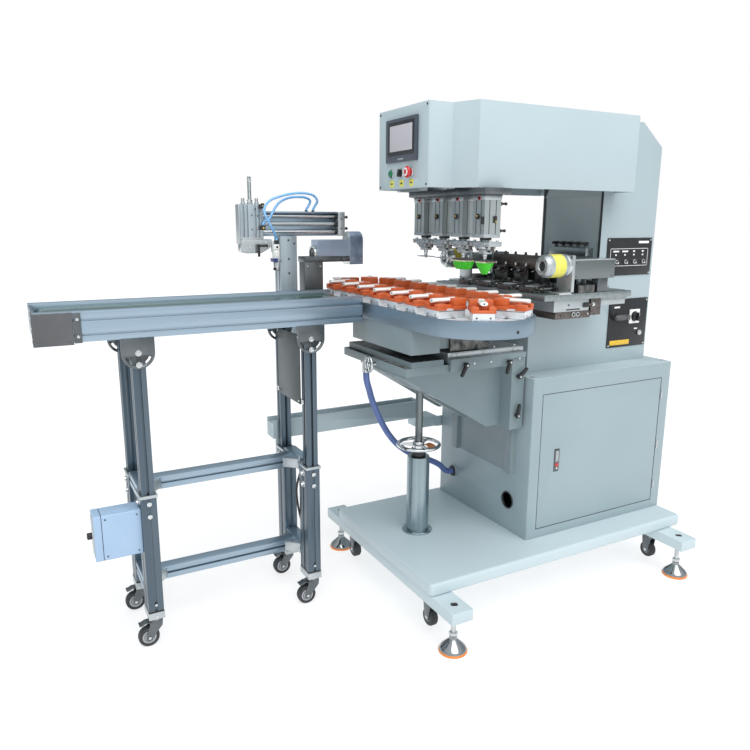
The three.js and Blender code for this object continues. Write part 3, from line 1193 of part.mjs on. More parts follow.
// Control box on the near left leg, with its speed knob
const box = { length: 141, near: 424, far: 500, bottom: 332, top: 482, corner: 5, panel: 2, panelInset: 10,
  seam: 24 };
const knob = { radius: 10, depth: 16, stem: 4, z: 408 };
const boxRight = legs.leftX - socket.halfX - gap;
const boxLeft = boxRight - box.length;
{
  const body = plateX(roundedOutline(box.near, box.far, box.bottom, box.top, box.corner), boxLeft, boxRight,
    3);
  const seam = cut(
    block(boxLeft + box.seam, boxLeft + box.seam + 2 * gap, box.near - overrun, box.far + overrun,
      box.bottom - overrun, box.top + overrun),
    block(boxLeft, boxRight, box.near + 2 * gap, box.far - 2 * gap, box.bottom + 2 * gap,
      box.top - 2 * gap),
  );
  const panel = block(boxLeft - box.panel, boxLeft + gap, box.near + box.panelInset,
    box.far - box.panelInset,
    box.bottom + box.panelInset, box.top - box.panelInset);
  const y = (box.near + box.far) / 2;
  const hole = rod('x', knob.stem + gap, boxLeft - box.panel - overrun, boxLeft + knob.depth, y, knob.z,
    12);
  addPiece('control_box', cut(join(cut(body, seam), panel), hole), 'box');
  const face = boxLeft - box.panel - gap;
  addPiece('speed_knob', join(rod('x', knob.radius, face - knob.depth, face, y, knob.z, 18),
    rod('x', knob.stem, face - gap, boxLeft + knob.depth - 2 * gap, y, knob.z, 10)), 'black');
}

// Pick-and-place: post clamped to the far rail, rodless slide on top, carriage, and vertical ram
const post = { left: -222, right: -157, depth: 64, bottom: -176, top: 199, clampLeft: -245,
  clampRight: -134, clampThick: 8 };
const slide = { left: -356, right: 32, near: 694, depth: 48, bottom: 199, top: 287, leftEnd: 12,
  rightEnd: 28, rodRadius: 6,
  rodInset: 16, spine: 16, block: 45 };
const lift = { left: -388, right: -306, near: 652, depth: 36, bottom: 190, top: 309, rod: 7, rodTop: 402,
  stub: 6, stubTop: 330, plateBottom: 142, plateLeft: -388, plateRight: -278, gripperX: -262, gripper: 14,
  gripperBottom: 80, gripperTop: 184, finger: 5,
  elbow: 14, elbowBottom: 222 };
{
  const postNear = rail.far + gap + post.clampThick;
  const body = block(post.left, post.right, postNear - gap, postNear + post.depth,
    conveyorTop + post.bottom, conveyorTop + post.top);
  const clamp = block(post.clampLeft, post.clampRight, rail.far + gap, postNear, railBottom + rail.groove,
    conveyorTop - rail.groove);
  const ends = [[slide.left, slide.left + slide.leftEnd], [slide.right - slide.rightEnd,
    slide.right]].map(([a, b]) =>
    block(a, b, slide.near, slide.near + slide.depth, conveyorTop + slide.bottom, conveyorTop + slide.top));
  const spine = block(slide.left, slide.right, slide.near + slide.depth - slide.spine,
    slide.near + slide.depth,
    conveyorTop + slide.bottom, conveyorTop + slide.top);
  const rods = [conveyorTop + slide.bottom + slide.rodInset,
    conveyorTop + slide.top - slide.rodInset].map((z) =>
    rod('x', slide.rodRadius, slide.left, slide.right, slide.near + slide.depth / 3, z, 10));
  const seat = block(post.left, post.right, slide.near + slide.depth - slide.spine, postNear + post.depth,
    conveyorTop + post.top - slide.rodRadius, conveyorTop + post.top + gap);
  addPiece('pickup_post', join(body, clamp, ends, spine, rods, seat), 'aluminium');

  const rodY = slide.near + slide.depth / 3;
  const shoe = cut(
    block(lift.left + slide.block, lift.right, lift.near + lift.depth - gap,
      slide.near + slide.depth - slide.spine - gap,
      conveyorTop + slide.bottom + gap, conveyorTop + slide.top - gap),
    [conveyorTop + slide.bottom + slide.rodInset, conveyorTop + slide.top - slide.rodInset].map((z) =>
      rod('x', slide.rodRadius + gap, lift.left - overrun, lift.right + overrun, rodY, z, 10)),
  );
  const liftBody = block(lift.left, lift.right, lift.near, lift.near + lift.depth,
    conveyorTop + lift.bottom, conveyorTop + lift.top);
  const middle = (lift.left + lift.right) / 2;
  const rodYs = lift.near + lift.depth / 2;
  const guides = [-1, 0, 1].map((k) => [middle + k * 3.5 * lift.rod, k ? lift.stub : lift.rod]);
  const bores = guides.map(([x, r]) => rod('z', r + gap, conveyorTop + lift.bottom - overrun,
    conveyorTop + lift.top + overrun, x, rodYs, 10));
  const elbow = block(lift.right - lift.elbow, lift.right + lift.elbow / 4, lift.near - lift.elbow,
    lift.near + gap,
    conveyorTop + lift.elbowBottom, conveyorTop + lift.elbowBottom + lift.elbow);
  addPiece('pickup_carriage', cut(join(liftBody, shoe, elbow), bores), 'aluminium');

  const ramRods = guides.map(([x, r], k) => rod('z', r, conveyorTop + lift.bottom - 2 * gap - lift.stub,
    k === 1 ? conveyorTop + lift.rodTop : conveyorTop + lift.stubTop,
    x, rodYs, 10));
  const ramPlate = block(lift.plateLeft, lift.plateRight, lift.near - lift.stub, lift.near + lift.depth,
    conveyorTop + lift.plateBottom,
    conveyorTop + lift.bottom - gap);
  const gripper = rod('z', lift.gripper, conveyorTop + lift.gripperBottom + 3 * lift.gripper,
    conveyorTop + lift.gripperTop, lift.gripperX, lift.near, 16);
  const link = block(lift.plateRight - gap, lift.gripperX, lift.near - lift.stub, lift.near + lift.stub,
    conveyorTop + lift.plateBottom, conveyorTop + lift.plateBottom + 2 * lift.gripper);
  const fingers = [-1, 1].map((k) => block(lift.gripperX - lift.finger, lift.gripperX + lift.finger,
    lift.near + k * lift.gripper - lift.finger / 2, lift.near + k * lift.gripper + lift.finger / 2,
    conveyorTop + lift.gripperBottom, conveyorTop + lift.gripperBottom + 3 * lift.gripper + gap));
  const palm = block(lift.gripperX - lift.gripper, lift.gripperX + lift.gripper,
    lift.near - 1.5 * lift.gripper,
    lift.near + 1.5 * lift.gripper, conveyorTop + lift.gripperBottom + 2.4 * lift.gripper,
    conveyorTop + lift.gripperBottom + 4 * lift.gripper);
  addPiece('pickup_ram', join(ramRods, ramPlate, gripper, link, fingers, palm), 'steel');
}

// Ink dryer: a cross-flow blower on a bracket at the far end of the conveyor
const dryer = { left: -62, right: 73, near: 735, far: 800, bottom: 121, top: 182, hub: 31, hubLeft: -74,
  hubZ: 130,
  endThick: 58, endBottom: 88, endTop: 212, trayBottom: 100, bracketLeft: -118, bracketRight: -42,
    bracketBottom: -76,
  bracketThick: 10 };
{
  const endRadius = (dryer.far - dryer.near) / 2;
  const middleY = (dryer.near + dryer.far) / 2;
  const endShape = new THREE.Shape();
  endShape.moveTo(dryer.near, conveyorTop + dryer.endBottom);
  endShape.lineTo(dryer.far, conveyorTop + dryer.endBottom);
  endShape.lineTo(dryer.far, conveyorTop + dryer.endTop - endRadius);
  endShape.absarc(middleY, conveyorTop + dryer.endTop - endRadius, endRadius, 0, Math.PI);
  const end = plateX(endShape, dryer.right - gap, dryer.right + dryer.endThick, 10);
  const housing = block(dryer.left, dryer.right, dryer.near, dryer.far, conveyorTop + dryer.bottom,
    conveyorTop + dryer.top);
  const tray = block(dryer.bracketLeft, dryer.right, dryer.near, dryer.far, conveyorTop + dryer.trayBottom,
    conveyorTop + dryer.bottom + gap);
  const hub = rod('x', dryer.hub, dryer.hubLeft, dryer.left + gap, middleY, conveyorTop + dryer.hubZ + gap,
    24);
  const web = block(dryer.bracketLeft, dryer.bracketRight, rail.far + gap, dryer.far - dryer.bracketThick,
    conveyorTop + dryer.bracketBottom + rail.groove, conveyorTop - rail.groove);
  const upright = block(dryer.bracketLeft, dryer.bracketRight, dryer.near, dryer.far - dryer.bracketThick,
    conveyorTop + dryer.bracketBottom + rail.groove, conveyorTop + dryer.trayBottom + gap);
  addPiece('ink_dryer', join(end, housing, tray, hub, web, upright), 'aluminium');
}

// Tie beam from the stand to the far side of the cabinet
const tie = { clear: 23, width: 72, rise: 21, height: 72, reach: 93, recess: 14, edge: 10, blockReach: 18,
  blockInset: 8, blockDrop: 44, anchorDrop: 1, plateThick: 9, plateReach: 112, lugDrop: 79 };
tie.near = cabinet.far + tie.clear;
tie.far = tie.near + tie.width;
tie.bottom = socket.top + tie.rise;
tie.top = tie.bottom + tie.height;
tie.right = cabinet.left - tie.reach;
tie.blockRight = cabinet.left - tie.blockReach;
tie.blockNear = cabinet.far + tie.blockInset;
tie.blockBottom = tie.bottom - tie.blockDrop;
tie.blockTop = tie.bottom - tie.anchorDrop;
tie.plateRight = cabinet.left + tie.plateReach;
tie.lugBottom = tie.bottom - tie.lugDrop;
{
  const left = legs.rightX - socket.halfX - tie.edge;
  const beam = cut(
    block(left, tie.right, tie.near, tie.far, tie.bottom, tie.top),
    block(left - overrun, tie.right - tie.edge, tie.near + tie.edge, tie.far - tie.edge,
      tie.top - tie.recess, tie.top + overrun),
  );
  const farLegFace = legs.far + upperSize + socket.wall + gap;
  const lugTop = socket.top - socket.lipHeight - gap;
  const lugPad = block(legs.rightX - socket.halfX, legs.rightX + socket.halfX, farLegFace + gap,
    farLegFace + socket.lip + 2 * gap, tie.lugBottom, lugTop);
  const lug = block(legs.rightX - socket.halfX, legs.rightX + socket.halfX, farLegFace + socket.lip + gap,
    tie.near + tie.edge, tie.lugBottom, tie.bottom + gap);
  const endBlock = block(tie.right - tie.plateThick * 2, tie.blockRight, tie.blockNear, tie.far,
    tie.blockBottom, tie.bottom + gap);
  const anchor = block(tie.blockRight - gap, tie.plateRight, cabinet.far + gap,
    cabinet.far + gap + tie.plateThick,
    tie.blockBottom, tie.blockTop);
  const cheek = block(tie.blockRight - tie.plateThick, tie.blockRight, cabinet.far + gap,
    tie.blockNear + gap,
    tie.blockBottom, tie.blockTop);
  addPiece('tie_beam', join(beam, lug, lugPad, endBlock, anchor, cheek), 'paint');
}

// Free hoses and the lead, each a tube along a chosen route
const dustHose = { radius: 12, steps: 24, sides: 10 };
const dustRoute = [
  [22, 500, 0.9988], [22, 500, 0.9714], [24, 501.5, 0.9429], [31, 507, 0.902], [42, 515, 0.8531],
  [63, 530, 0.7551], [92, 533, 0.6204], [118, 535, 0.5224], [150, 538, 0.4265],
  [190, 542, 0.3388], [240, 546, 0.2612], [300, 551, 0.1918], [341, 556, 0.1592], [400, 564, 0.0898],
  [436, 573, 0.0224], [460, 576, 0.0008], [474, 576, 0], [490, 576, 0],
].map(([x, y, share]) => [x, y, farHoleZ + share * (tableTop + knee.stubBottom - farHoleZ)]);
addPiece('dust_hose', sweptTube(dustHose.radius, dustRoute, dustHose.steps, dustHose.sides), 'hose');

const airHose = { radius: 4.5, steps: 26, shortSteps: 20, sides: 8 };
const longRoute = [
  [-88, 718, 287.8], [-87.6, 717.6, 295], [-82, 712, 308], [-78, 700, 325], [-100, 688, 345],
  [-155, 668, 351], [-205, 655, 346],
  [-244, 644, 337], [-286, 634, 322], [-308, 627, 299], [-308, 625, 274], [-290, 628, 241],
  [-272, 637, 214],
  [-262.6, 644.6, 193], [-262, 645, 185],
].map(([x, y, z]) => [x, y, conveyorTop + z]);
addPiece('air_hose_long', sweptTube(airHose.radius, longRoute, airHose.steps, airHose.sides), 'airTube');
const shortRoute = [
  [-110, 730, 287.8], [-109.6, 729.9, 295], [-101, 726, 310], [-100, 716, 326], [-122, 704, 336],
  [-160, 690, 338], [-205, 676, 332],
  [-243, 665, 314], [-267, 656, 286], [-284, 649, 262], [-301, 644, 251], [-309.4, 643, 243.6],
  [-310, 643, 236.8],
].map(([x, y, z]) => [x, y, conveyorTop + z]);
addPiece('air_hose_short', sweptTube(airHose.radius, shortRoute, airHose.shortSteps, airHose.sides),
  'airTube');

const lead = { radius: 4, steps: 16, sides: 8 };
const leadRoute = [
  [-248, 496, 493], [-248.6, 495.9, 484], [-259, 492, 458], [-267, 490, 425], [-266, 489, 380],
  [-259, 488.5, 333],
  [-250, 488.5, 290], [-243, 489, 250], [-240.3, 490, 222], [-240, 490, 210.6],
];
addPiece('mains_lead', sweptTube(lead.radius, leadRoute, lead.steps, lead.sides), 'black');

// The origin stands in the middle of the machine's outline, on the floor
const frontX = conveyorLeft - bed.driveProud;
const middleX = (frontX + baseLength) / 2;
const middleY = lineY;
part.position.set(-middleX, -middleY, 0);

export default part;
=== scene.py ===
# %% [markdown]
# The machine prints lighters. Carriers run round an oval track, silicone pads press the ink on them,
# and a belt conveyor on its own stand brings them in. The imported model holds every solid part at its
# true size, so this lesson only dresses it: it adds finishes, rounds edges and models the small parts.

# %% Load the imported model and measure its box
import json
import math

import bpy
from mathutils import Matrix, Vector
from mathutils.geometry import interpolate_bezier
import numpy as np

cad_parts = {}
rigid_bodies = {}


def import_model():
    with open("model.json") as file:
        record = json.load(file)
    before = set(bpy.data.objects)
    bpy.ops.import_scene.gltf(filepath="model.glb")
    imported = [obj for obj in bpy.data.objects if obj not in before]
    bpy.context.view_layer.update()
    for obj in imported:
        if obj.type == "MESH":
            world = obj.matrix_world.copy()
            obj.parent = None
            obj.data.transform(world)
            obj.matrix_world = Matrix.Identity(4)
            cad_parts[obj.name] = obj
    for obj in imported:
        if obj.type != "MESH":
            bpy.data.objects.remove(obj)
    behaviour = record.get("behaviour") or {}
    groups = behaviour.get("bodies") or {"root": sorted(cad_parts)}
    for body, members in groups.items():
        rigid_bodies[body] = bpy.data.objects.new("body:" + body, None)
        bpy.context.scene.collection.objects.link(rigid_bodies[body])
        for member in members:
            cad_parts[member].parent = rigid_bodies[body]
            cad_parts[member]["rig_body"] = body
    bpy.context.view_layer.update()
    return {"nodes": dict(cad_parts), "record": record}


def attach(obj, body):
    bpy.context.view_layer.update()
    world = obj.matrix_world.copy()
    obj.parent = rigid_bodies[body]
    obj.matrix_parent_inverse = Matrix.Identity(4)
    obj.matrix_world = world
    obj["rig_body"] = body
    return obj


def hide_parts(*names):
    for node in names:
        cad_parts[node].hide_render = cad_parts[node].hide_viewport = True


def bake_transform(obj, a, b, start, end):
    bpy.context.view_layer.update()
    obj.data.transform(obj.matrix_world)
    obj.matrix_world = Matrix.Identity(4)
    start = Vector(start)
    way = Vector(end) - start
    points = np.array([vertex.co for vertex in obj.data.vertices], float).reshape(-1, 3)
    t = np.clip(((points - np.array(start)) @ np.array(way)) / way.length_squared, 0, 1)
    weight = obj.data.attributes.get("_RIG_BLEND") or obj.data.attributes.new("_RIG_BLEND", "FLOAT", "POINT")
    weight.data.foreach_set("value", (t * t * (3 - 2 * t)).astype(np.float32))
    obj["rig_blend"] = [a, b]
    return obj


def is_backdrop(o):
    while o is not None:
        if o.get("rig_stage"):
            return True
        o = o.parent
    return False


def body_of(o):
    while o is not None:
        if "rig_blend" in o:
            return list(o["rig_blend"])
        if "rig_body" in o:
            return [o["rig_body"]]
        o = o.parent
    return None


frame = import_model()

# %% [markdown]
# Sizes are easiest to write in millimetres from the machine's own corner, where the base plate starts.
# Blender works in metres from the middle of the floor outline, so one function turns one into the other.

# %% Machine millimetres to frame metres
MM = 0.001
CORNER = Vector((64.5, 380.0, 0.0))


def at(x, y, z):
    return (Vector((x, y, z)) - CORNER) * MM


# %% [markdown]
# The camera comes first, because the cords are judged by what it sees. It stands in front and to the left
# of the machine, a little above the table, and looks down by about twelve degrees.

# %% Camera
SENSOR = 36.0
PICTURE_PIXELS = 750
FOCAL_PIXELS = 692.035
right = Vector((0.87951, -0.47585, 0.00447))
up = Vector((0.09991, 0.19382, 0.97594))
back = Vector((-0.46527, -0.85790, 0.21801))
lens = bpy.data.cameras.new("product_camera")
lens.sensor_width = SENSOR
lens.lens = FOCAL_PIXELS / PICTURE_PIXELS * SENSOR
lens.clip_end = 60
camera = bpy.data.objects.new("product_camera", lens)
bpy.context.scene.collection.objects.link(camera)
turn = Matrix((right, up, back)).transposed().to_4x4()
camera.matrix_world = Matrix.Translation(at(-1141.55, -1713.49, 1372.41)) @ turn
bpy.context.scene.camera = camera
print("camera at", [round(v, 2) for v in camera.location])

# %% [markdown]
# Hoses are curves: one smooth line with a round section, which is what a hose is. Each has its real
# length, leaves one fitting and goes into another. The line repeats the route of the solid in the model.
# Where its two ends ride on different bodies the curve becomes a mesh, which can bend between them.

# %% Cord helper
NODES = frame["nodes"]


def hose(name, node, route, radius, body, far_body=None):
    line = bpy.data.curves.new(name, "CURVE")
    line.dimensions = "3D"
    line.bevel_depth = radius * MM
    line.bevel_resolution = 6
    line.resolution_u = 8
    line.use_fill_caps = True
    spline = line.splines.new("BEZIER")
    spline.bezier_points.add(len(route) - 1)
    places = [at(*p) for p in route]
    for i, (point, place) in enumerate(zip(spline.bezier_points, places)):
        before = places[max(i - 1, 0)]
        after = places[min(i + 1, len(places) - 1)]
        way = (after - before).normalized()
        point.co = place
        point.handle_left_type = point.handle_right_type = "FREE"
        point.handle_left = place - way * (place - before).length / 3
        point.handle_right = place + way * (after - place).length / 3
    piece = bpy.data.objects.new(name, line)
    bpy.context.scene.collection.objects.link(piece)
    walk = [places[0]]
    knots = list(spline.bezier_points)
    for near, far in zip(knots, knots[1:]):
        walk += interpolate_bezier(near.co, near.handle_right, far.handle_left, far.co, 9)[1:]
    if far_body:
        bpy.ops.object.select_all(action="DESELECT")
        bpy.context.view_layer.objects.active = piece
        piece.select_set(True)
        bpy.ops.object.convert(target="MESH")
        piece = bpy.context.active_object
        piece.name = name
        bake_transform(piece, body, far_body, start=places[0], end=places[-1])
    else:
        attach(piece, body)
    if node:
        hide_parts(node)
    return piece


# %% Suction hose, two air tubes, control lead and motor lead
dust_route = [(22, 500, 825.4), (22, 500, 812), (24, 501.5, 798), (31, 507, 778), (42, 515, 754),
    (63, 530, 706), (92, 533, 640), (118, 535, 592), (150, 538, 545), (190, 542, 502), (240, 546, 464),
    (300, 551, 430), (341, 556, 414), (400, 564, 380), (436, 573, 347), (460, 576, 336.4), (474, 576, 336),
    (490, 576, 336)]
long_route = [(-88, 718, 1403.8), (-87.6, 717.6, 1411), (-82, 712, 1424), (-78, 700, 1441), (-100, 688, 1461),
    (-155, 668, 1467), (-205, 655, 1462), (-244, 644, 1453), (-286, 634, 1438), (-308, 627, 1415),
    (-308, 625, 1390), (-290, 628, 1357), (-272, 637, 1330), (-262.6, 644.6, 1309), (-262, 645, 1301)]
short_route = [(-110, 730, 1403.8), (-109.6, 729.9, 1411), (-101, 726, 1426), (-100, 716, 1442),
    (-122, 704, 1452), (-160, 690, 1454), (-205, 676, 1448), (-243, 665, 1430), (-267, 656, 1402),
    (-284, 649, 1378), (-301, 644, 1367), (-309.4, 643, 1359.6), (-310, 643, 1352.8)]
lead_route = [(-248, 496, 493), (-248.6, 495.9, 484), (-259, 492, 458), (-267, 490, 425), (-266, 489, 380),
    (-259, 488.5, 333), (-250, 488.5, 290), (-243, 489, 250), (-240.3, 490, 222), (-240, 490, 210.6)]
motor_route = [(691, 50, 1181.8), (691.6, 50.4, 1177), (704, 58, 1170), (740, 82, 1163), (788, 111, 1150),
    (850, 149, 1121), (902, 179, 1083), (938, 197, 1041), (952, 204, 1018), (957, 208, 1008),
    (962, 213.4, 1004)]
suction_hose = hose("suction_hose", "dust_hose", dust_route, 12, "knee", "machine")
long_tube = hose("air_tube_long", "air_hose_long", long_route, 4.5, "conveyor", "pickup_carriage")
short_tube = hose("air_tube_short", "air_hose_short", short_route, 4.5, "conveyor",
    "pickup_carriage")
control_lead = hose("control_lead", "mains_lead", lead_route, 4, "machine")
motor_lead = hose("motor_lead", "", motor_route, 3.2, "machine")

# %% [markdown]
# Finishes are made of nodes. Each starts from one shader; a noise in Object coordinates varies the colour
# a little, another varies the gloss, and a fine one gives the grain. Object coordinates are the machine's
# own metres, so the grain has one scale everywhere. A stretched noise makes brushed or drawn metal.

# %% Finish helper
def finish(name, colours, gloss, metallic=0.0, grain=(300.0, 0.02), stretch=(1, 1, 1), patch=6.0, coat=0.0,
        glow=0.0, soft=0.0):
    material = bpy.data.materials.new(name)
    material.use_nodes = True
    add, link = material.node_tree.nodes.new, material.node_tree.links.new
    shader = material.node_tree.nodes["Principled BSDF"]
    mapping = add("ShaderNodeMapping")
    mapping.inputs["Scale"].default_value = stretch
    link(add("ShaderNodeTexCoord").outputs["Object"], mapping.inputs["Vector"])

    def noise(scale, detail):
        made = add("ShaderNodeTexNoise")
        made.inputs["Scale"].default_value = scale
        made.inputs["Detail"].default_value = detail
        link(mapping.outputs["Vector"], made.inputs["Vector"])
        return made.outputs["Fac"]

    ramp = add("ShaderNodeValToRGB")
    for stop, position, colour in zip(ramp.color_ramp.elements, (0.3, 0.7), colours):
        stop.position = position
        stop.color = (*colour, 1)
    link(noise(patch, 3), ramp.inputs["Fac"])
    link(ramp.outputs["Color"], shader.inputs["Base Color"])
    grains = noise(grain[0], 2)
    rough = add("ShaderNodeMapRange")
    rough.inputs["To Min"].default_value, rough.inputs["To Max"].default_value = gloss
    link(grains, rough.inputs["Value"])
    link(rough.outputs["Result"], shader.inputs["Roughness"])
    bump = add("ShaderNodeBump")
    bump.inputs["Strength"].default_value = grain[1]
    bump.inputs["Distance"].default_value = 0.001
    link(grains, bump.inputs["Height"])
    link(bump.outputs["Normal"], shader.inputs["Normal"])
    for socket, value in (("Metallic", metallic), ("Coat Weight", coat), ("Coat Roughness", 0.15),
            ("Subsurface Weight", soft), ("Subsurface Radius", (0.01, 0.01, 0.01))):
        shader.inputs[socket].default_value = value
    if glow:
        link(ramp.outputs["Color"], shader.inputs["Emission Color"])
        shader.inputs["Emission Strength"].default_value = glow
    return material


# %% [markdown]
# The machine's body is steel plate and castings under a pale grey-green enamel, sprayed and baked. Seen
# close, such enamel has the fine waves of orange peel, so its grain is shallow and about 3 mm across.
# The one enamel comes in lit and shaded copies. Darker copies paint the shade on the column, the cabinet,
# the knee, the saddle and the table, and a paler copy paints the light on the base.

# %% Painted finishes
def sprayed(name, low, high, coat):
    return finish(name, (low, high), (0.34, 0.46), grain=(320, 0.08), patch=2.5, coat=coat)


# Lit and shaded copies of the one enamel: the column, cabinet, knee and table copies are darker and are
# painted shade; the base copy is paler and is painted light.
enamel = sprayed("pale_enamel", (0.46, 0.555, 0.59), (0.49, 0.59, 0.625), 0.12)
column_shaded_enamel = sprayed("column_shaded_enamel", (0.385, 0.47, 0.50), (0.41, 0.50, 0.53), 0.10)
low_enamel = sprayed("shaded_enamel", (0.30, 0.38, 0.41), (0.325, 0.41, 0.44), 0.10)
base_lit_enamel = sprayed("base_lit_enamel", (0.50, 0.60, 0.635), (0.53, 0.63, 0.665), 0.12)
knee_shaded_enamel = finish("knee_shaded_enamel", ((0.185, 0.245, 0.265), (0.21, 0.275, 0.295)), (0.36, 0.5),
    grain=(300, 0.1), patch=5, coat=0.1)
table_shaded_enamel = finish("table_shaded_enamel", ((0.20, 0.26, 0.28), (0.23, 0.295, 0.315)), (0.34, 0.48),
    grain=(300, 0.1), patch=5, coat=0.1)
box_enamel = finish("box_enamel", ((0.34, 0.48, 0.66), (0.38, 0.52, 0.70)), (0.4, 0.5), grain=(500, 0.06),
    patch=9, coat=0.08)

# %% [markdown]
# Extruded profile is drawn through a die and then anodised, which leaves faint lines along its length and
# a cool satin grey. The grain is a noise squeezed across the length: one finish for profile that lies
# along X, one for profile that stands, and one for the bent rim of the track, whose lines go round it.

# %% Metal finishes
def drawn_up(name, low, high, gloss, metallic, grain):
    return finish(name, (low, high), gloss, metallic, (60, grain), (12, 12, 0.15), 3)


anodised_x = finish("anodised_along_x", ((0.33, 0.43, 0.52), (0.38, 0.48, 0.57)), (0.24, 0.4), 0.85,
    grain=(60, 0.10), stretch=(0.15, 12, 12), patch=3)
anodised_z = drawn_up("anodised_upright", (0.20, 0.25, 0.295), (0.25, 0.305, 0.35), (0.24, 0.42), 0.85, 0.10)
leg_metal = drawn_up("anodised_leg", (0.095, 0.13, 0.162), (0.13, 0.17, 0.205), (0.24, 0.42), 0.8, 0.10)
post_silver = drawn_up("anodised_post", (0.36, 0.42, 0.46), (0.46, 0.53, 0.57), (0.26, 0.42), 0.7, 0.08)
cylinder_metal = drawn_up("cylinder_silver", (0.40, 0.44, 0.445), (0.48, 0.52, 0.52), (0.26, 0.42), 0.8, 0.08)
rim_anodised = finish("anodised_rim", ((0.22, 0.295, 0.365), (0.26, 0.34, 0.41)), (0.32, 0.46), 0.8,
    grain=(70, 0.08), stretch=(0.6, 0.6, 14), patch=2)
deck_metal = finish("bright_deck", ((0.74, 0.80, 0.84), (0.80, 0.86, 0.89)), (0.28, 0.42), 0.25,
    grain=(240, 0.03), stretch=(1, 0.2, 1), patch=9)
silver = finish("silver_casting", ((0.46, 0.50, 0.52), (0.55, 0.59, 0.61)), (0.3, 0.5), 0.85,
    grain=(260, 0.08), patch=16)
milled = finish("milled_steel", ((0.26, 0.30, 0.31), (0.36, 0.40, 0.41)), (0.24, 0.42), 0.9, grain=(80, 0.06),
    stretch=(8, 0.7, 8), patch=9)
# Ink-black steel: real ink and oil on the bench and drives, and painted shade on the knee's top under the
# table housing.
ink_and_shade = finish("ink_and_shade_steel", ((0.03, 0.032, 0.035), (0.22, 0.22, 0.21)), (0.2, 0.6), 0.8, grain=(120, 0.2),
    patch=40)
browned = finish("browned_steel", ((0.10, 0.085, 0.08), (0.21, 0.185, 0.175)), (0.28, 0.5), 0.9,
    grain=(90, 0.1), stretch=(6, 0.6, 6), patch=14)
ground = finish("ground_steel", ((0.50, 0.52, 0.53), (0.62, 0.64, 0.65)), (0.14, 0.3), 0.97, grain=(60, 0.05),
    stretch=(1, 14, 14), patch=8)
stainless = finish("brushed_stainless", ((0.26, 0.34, 0.38), (0.36, 0.43, 0.46)), (0.2, 0.36), 0.96,
    grain=(70, 0.1), stretch=(14, 14, 0.2), patch=5)
chrome = finish("bright_chrome", ((0.66, 0.68, 0.69), (0.74, 0.76, 0.77)), (0.04, 0.10), 1.0,
    grain=(30, 0.01), patch=20)
# Darker copy of the chrome for the feet: painted shade under the outriggers.
shaded_foot_chrome = finish("shaded_foot_chrome", ((0.26, 0.28, 0.29), (0.36, 0.38, 0.39)), (0.08, 0.16), 1.0,
    grain=(30, 0.01), patch=20)
zinc = finish("zinc_plated", ((0.55, 0.57, 0.58), (0.68, 0.70, 0.70)), (0.16, 0.3), 0.95, grain=(400, 0.05),
    patch=60)
# Dark metal for brackets, forks and screws, also used on the pad carriage plates as painted shade under the
# hood.
dark = finish("dark_metal_and_shade", ((0.11, 0.125, 0.135), (0.17, 0.185, 0.195)), (0.2, 0.36), 0.85,
    grain=(300, 0.06), patch=14)
brass = finish("brass_fitting", ((0.6, 0.42, 0.14), (0.7, 0.5, 0.2)), (0.2, 0.35), 1.0, grain=(300, 0.05),
    patch=50)

# %% [markdown]
# Plastics are dyed right through, so their colour hardly varies. What shows is the gloss: moulded caps
# shine, machined clamp blocks are satin, silicone glows a little because light goes into it.

# %% Plastic, rubber and other finishes
black = finish("black_plastic", ((0.012, 0.013, 0.014), (0.022, 0.023, 0.025)), (0.34, 0.5),
    grain=(900, 0.06), patch=30)
matt = finish("black_plate", ((0.010, 0.011, 0.013), (0.016, 0.017, 0.020)), (0.3, 0.42), grain=(700, 0.05),
    patch=20)
slate_plastic = finish("slate_bezel", ((0.055, 0.068, 0.095), (0.07, 0.085, 0.115)), (0.3, 0.42),
    grain=(900, 0.05), patch=20, coat=0.2)
grey = finish("grey_cover", ((0.085, 0.088, 0.093), (0.115, 0.118, 0.123)), (0.38, 0.52), grain=(700, 0.12),
    patch=10)
orange = finish("orange_block", ((0.54, 0.095, 0.020), (0.66, 0.13, 0.032)), (0.36, 0.52), grain=(300, 0.08),
    patch=25, soft=0.05)
white = finish("white_plastic", ((0.82, 0.82, 0.80), (0.9, 0.9, 0.88)), (0.16, 0.28), grain=(200, 0.02),
    patch=20, coat=0.3, soft=0.1)
green_cap = finish("green_cap", ((0.0, 0.15, 0.055), (0.0, 0.21, 0.08)), (0.25, 0.35), patch=40, coat=0.15)
red_cap = finish("red_cap", ((0.55, 0.012, 0.016), (0.66, 0.02, 0.022)), (0.12, 0.24), patch=40, coat=0.5)
silicone = finish("pad_silicone", ((0.035, 0.62, 0.012), (0.06, 0.74, 0.022)), (0.26, 0.4), grain=(160, 0.04),
    patch=22, coat=0.2, soft=0.25)
belt_green = finish("belt_green", ((0.001, 0.05, 0.028), (0.003, 0.08, 0.045)), (0.14, 0.24),
    grain=(400, 0.02), patch=4, coat=0.35)
tyre_rubber = finish("caster_tyre", ((0.020, 0.022, 0.025), (0.04, 0.042, 0.046)), (0.5, 0.7),
    grain=(260, 0.15), patch=30)
hose_rubber = finish("hose_rubber", ((0.11, 0.17, 0.42), (0.15, 0.22, 0.50)), (0.3, 0.5), grain=(500, 0.1),
    patch=12, coat=0.15)
tube_blue = finish("tube_blue", ((0.16, 0.44, 0.82), (0.30, 0.58, 0.92)), (0.12, 0.26), grain=(300, 0.03),
    patch=30, coat=0.5, soft=0.2)
dark_blue = finish("dark_blue_block", ((0.012, 0.03, 0.16), (0.02, 0.045, 0.22)), (0.25, 0.4), patch=60)
yellow = finish("yellow_label", ((0.72, 0.70, 0.06), (0.84, 0.80, 0.16)), (0.3, 0.5), grain=(120, 0.3),
    patch=30, coat=0.3)
amber = finish("yellow_strip", ((0.75, 0.45, 0.03), (0.85, 0.55, 0.05)), (0.3, 0.5), patch=60)
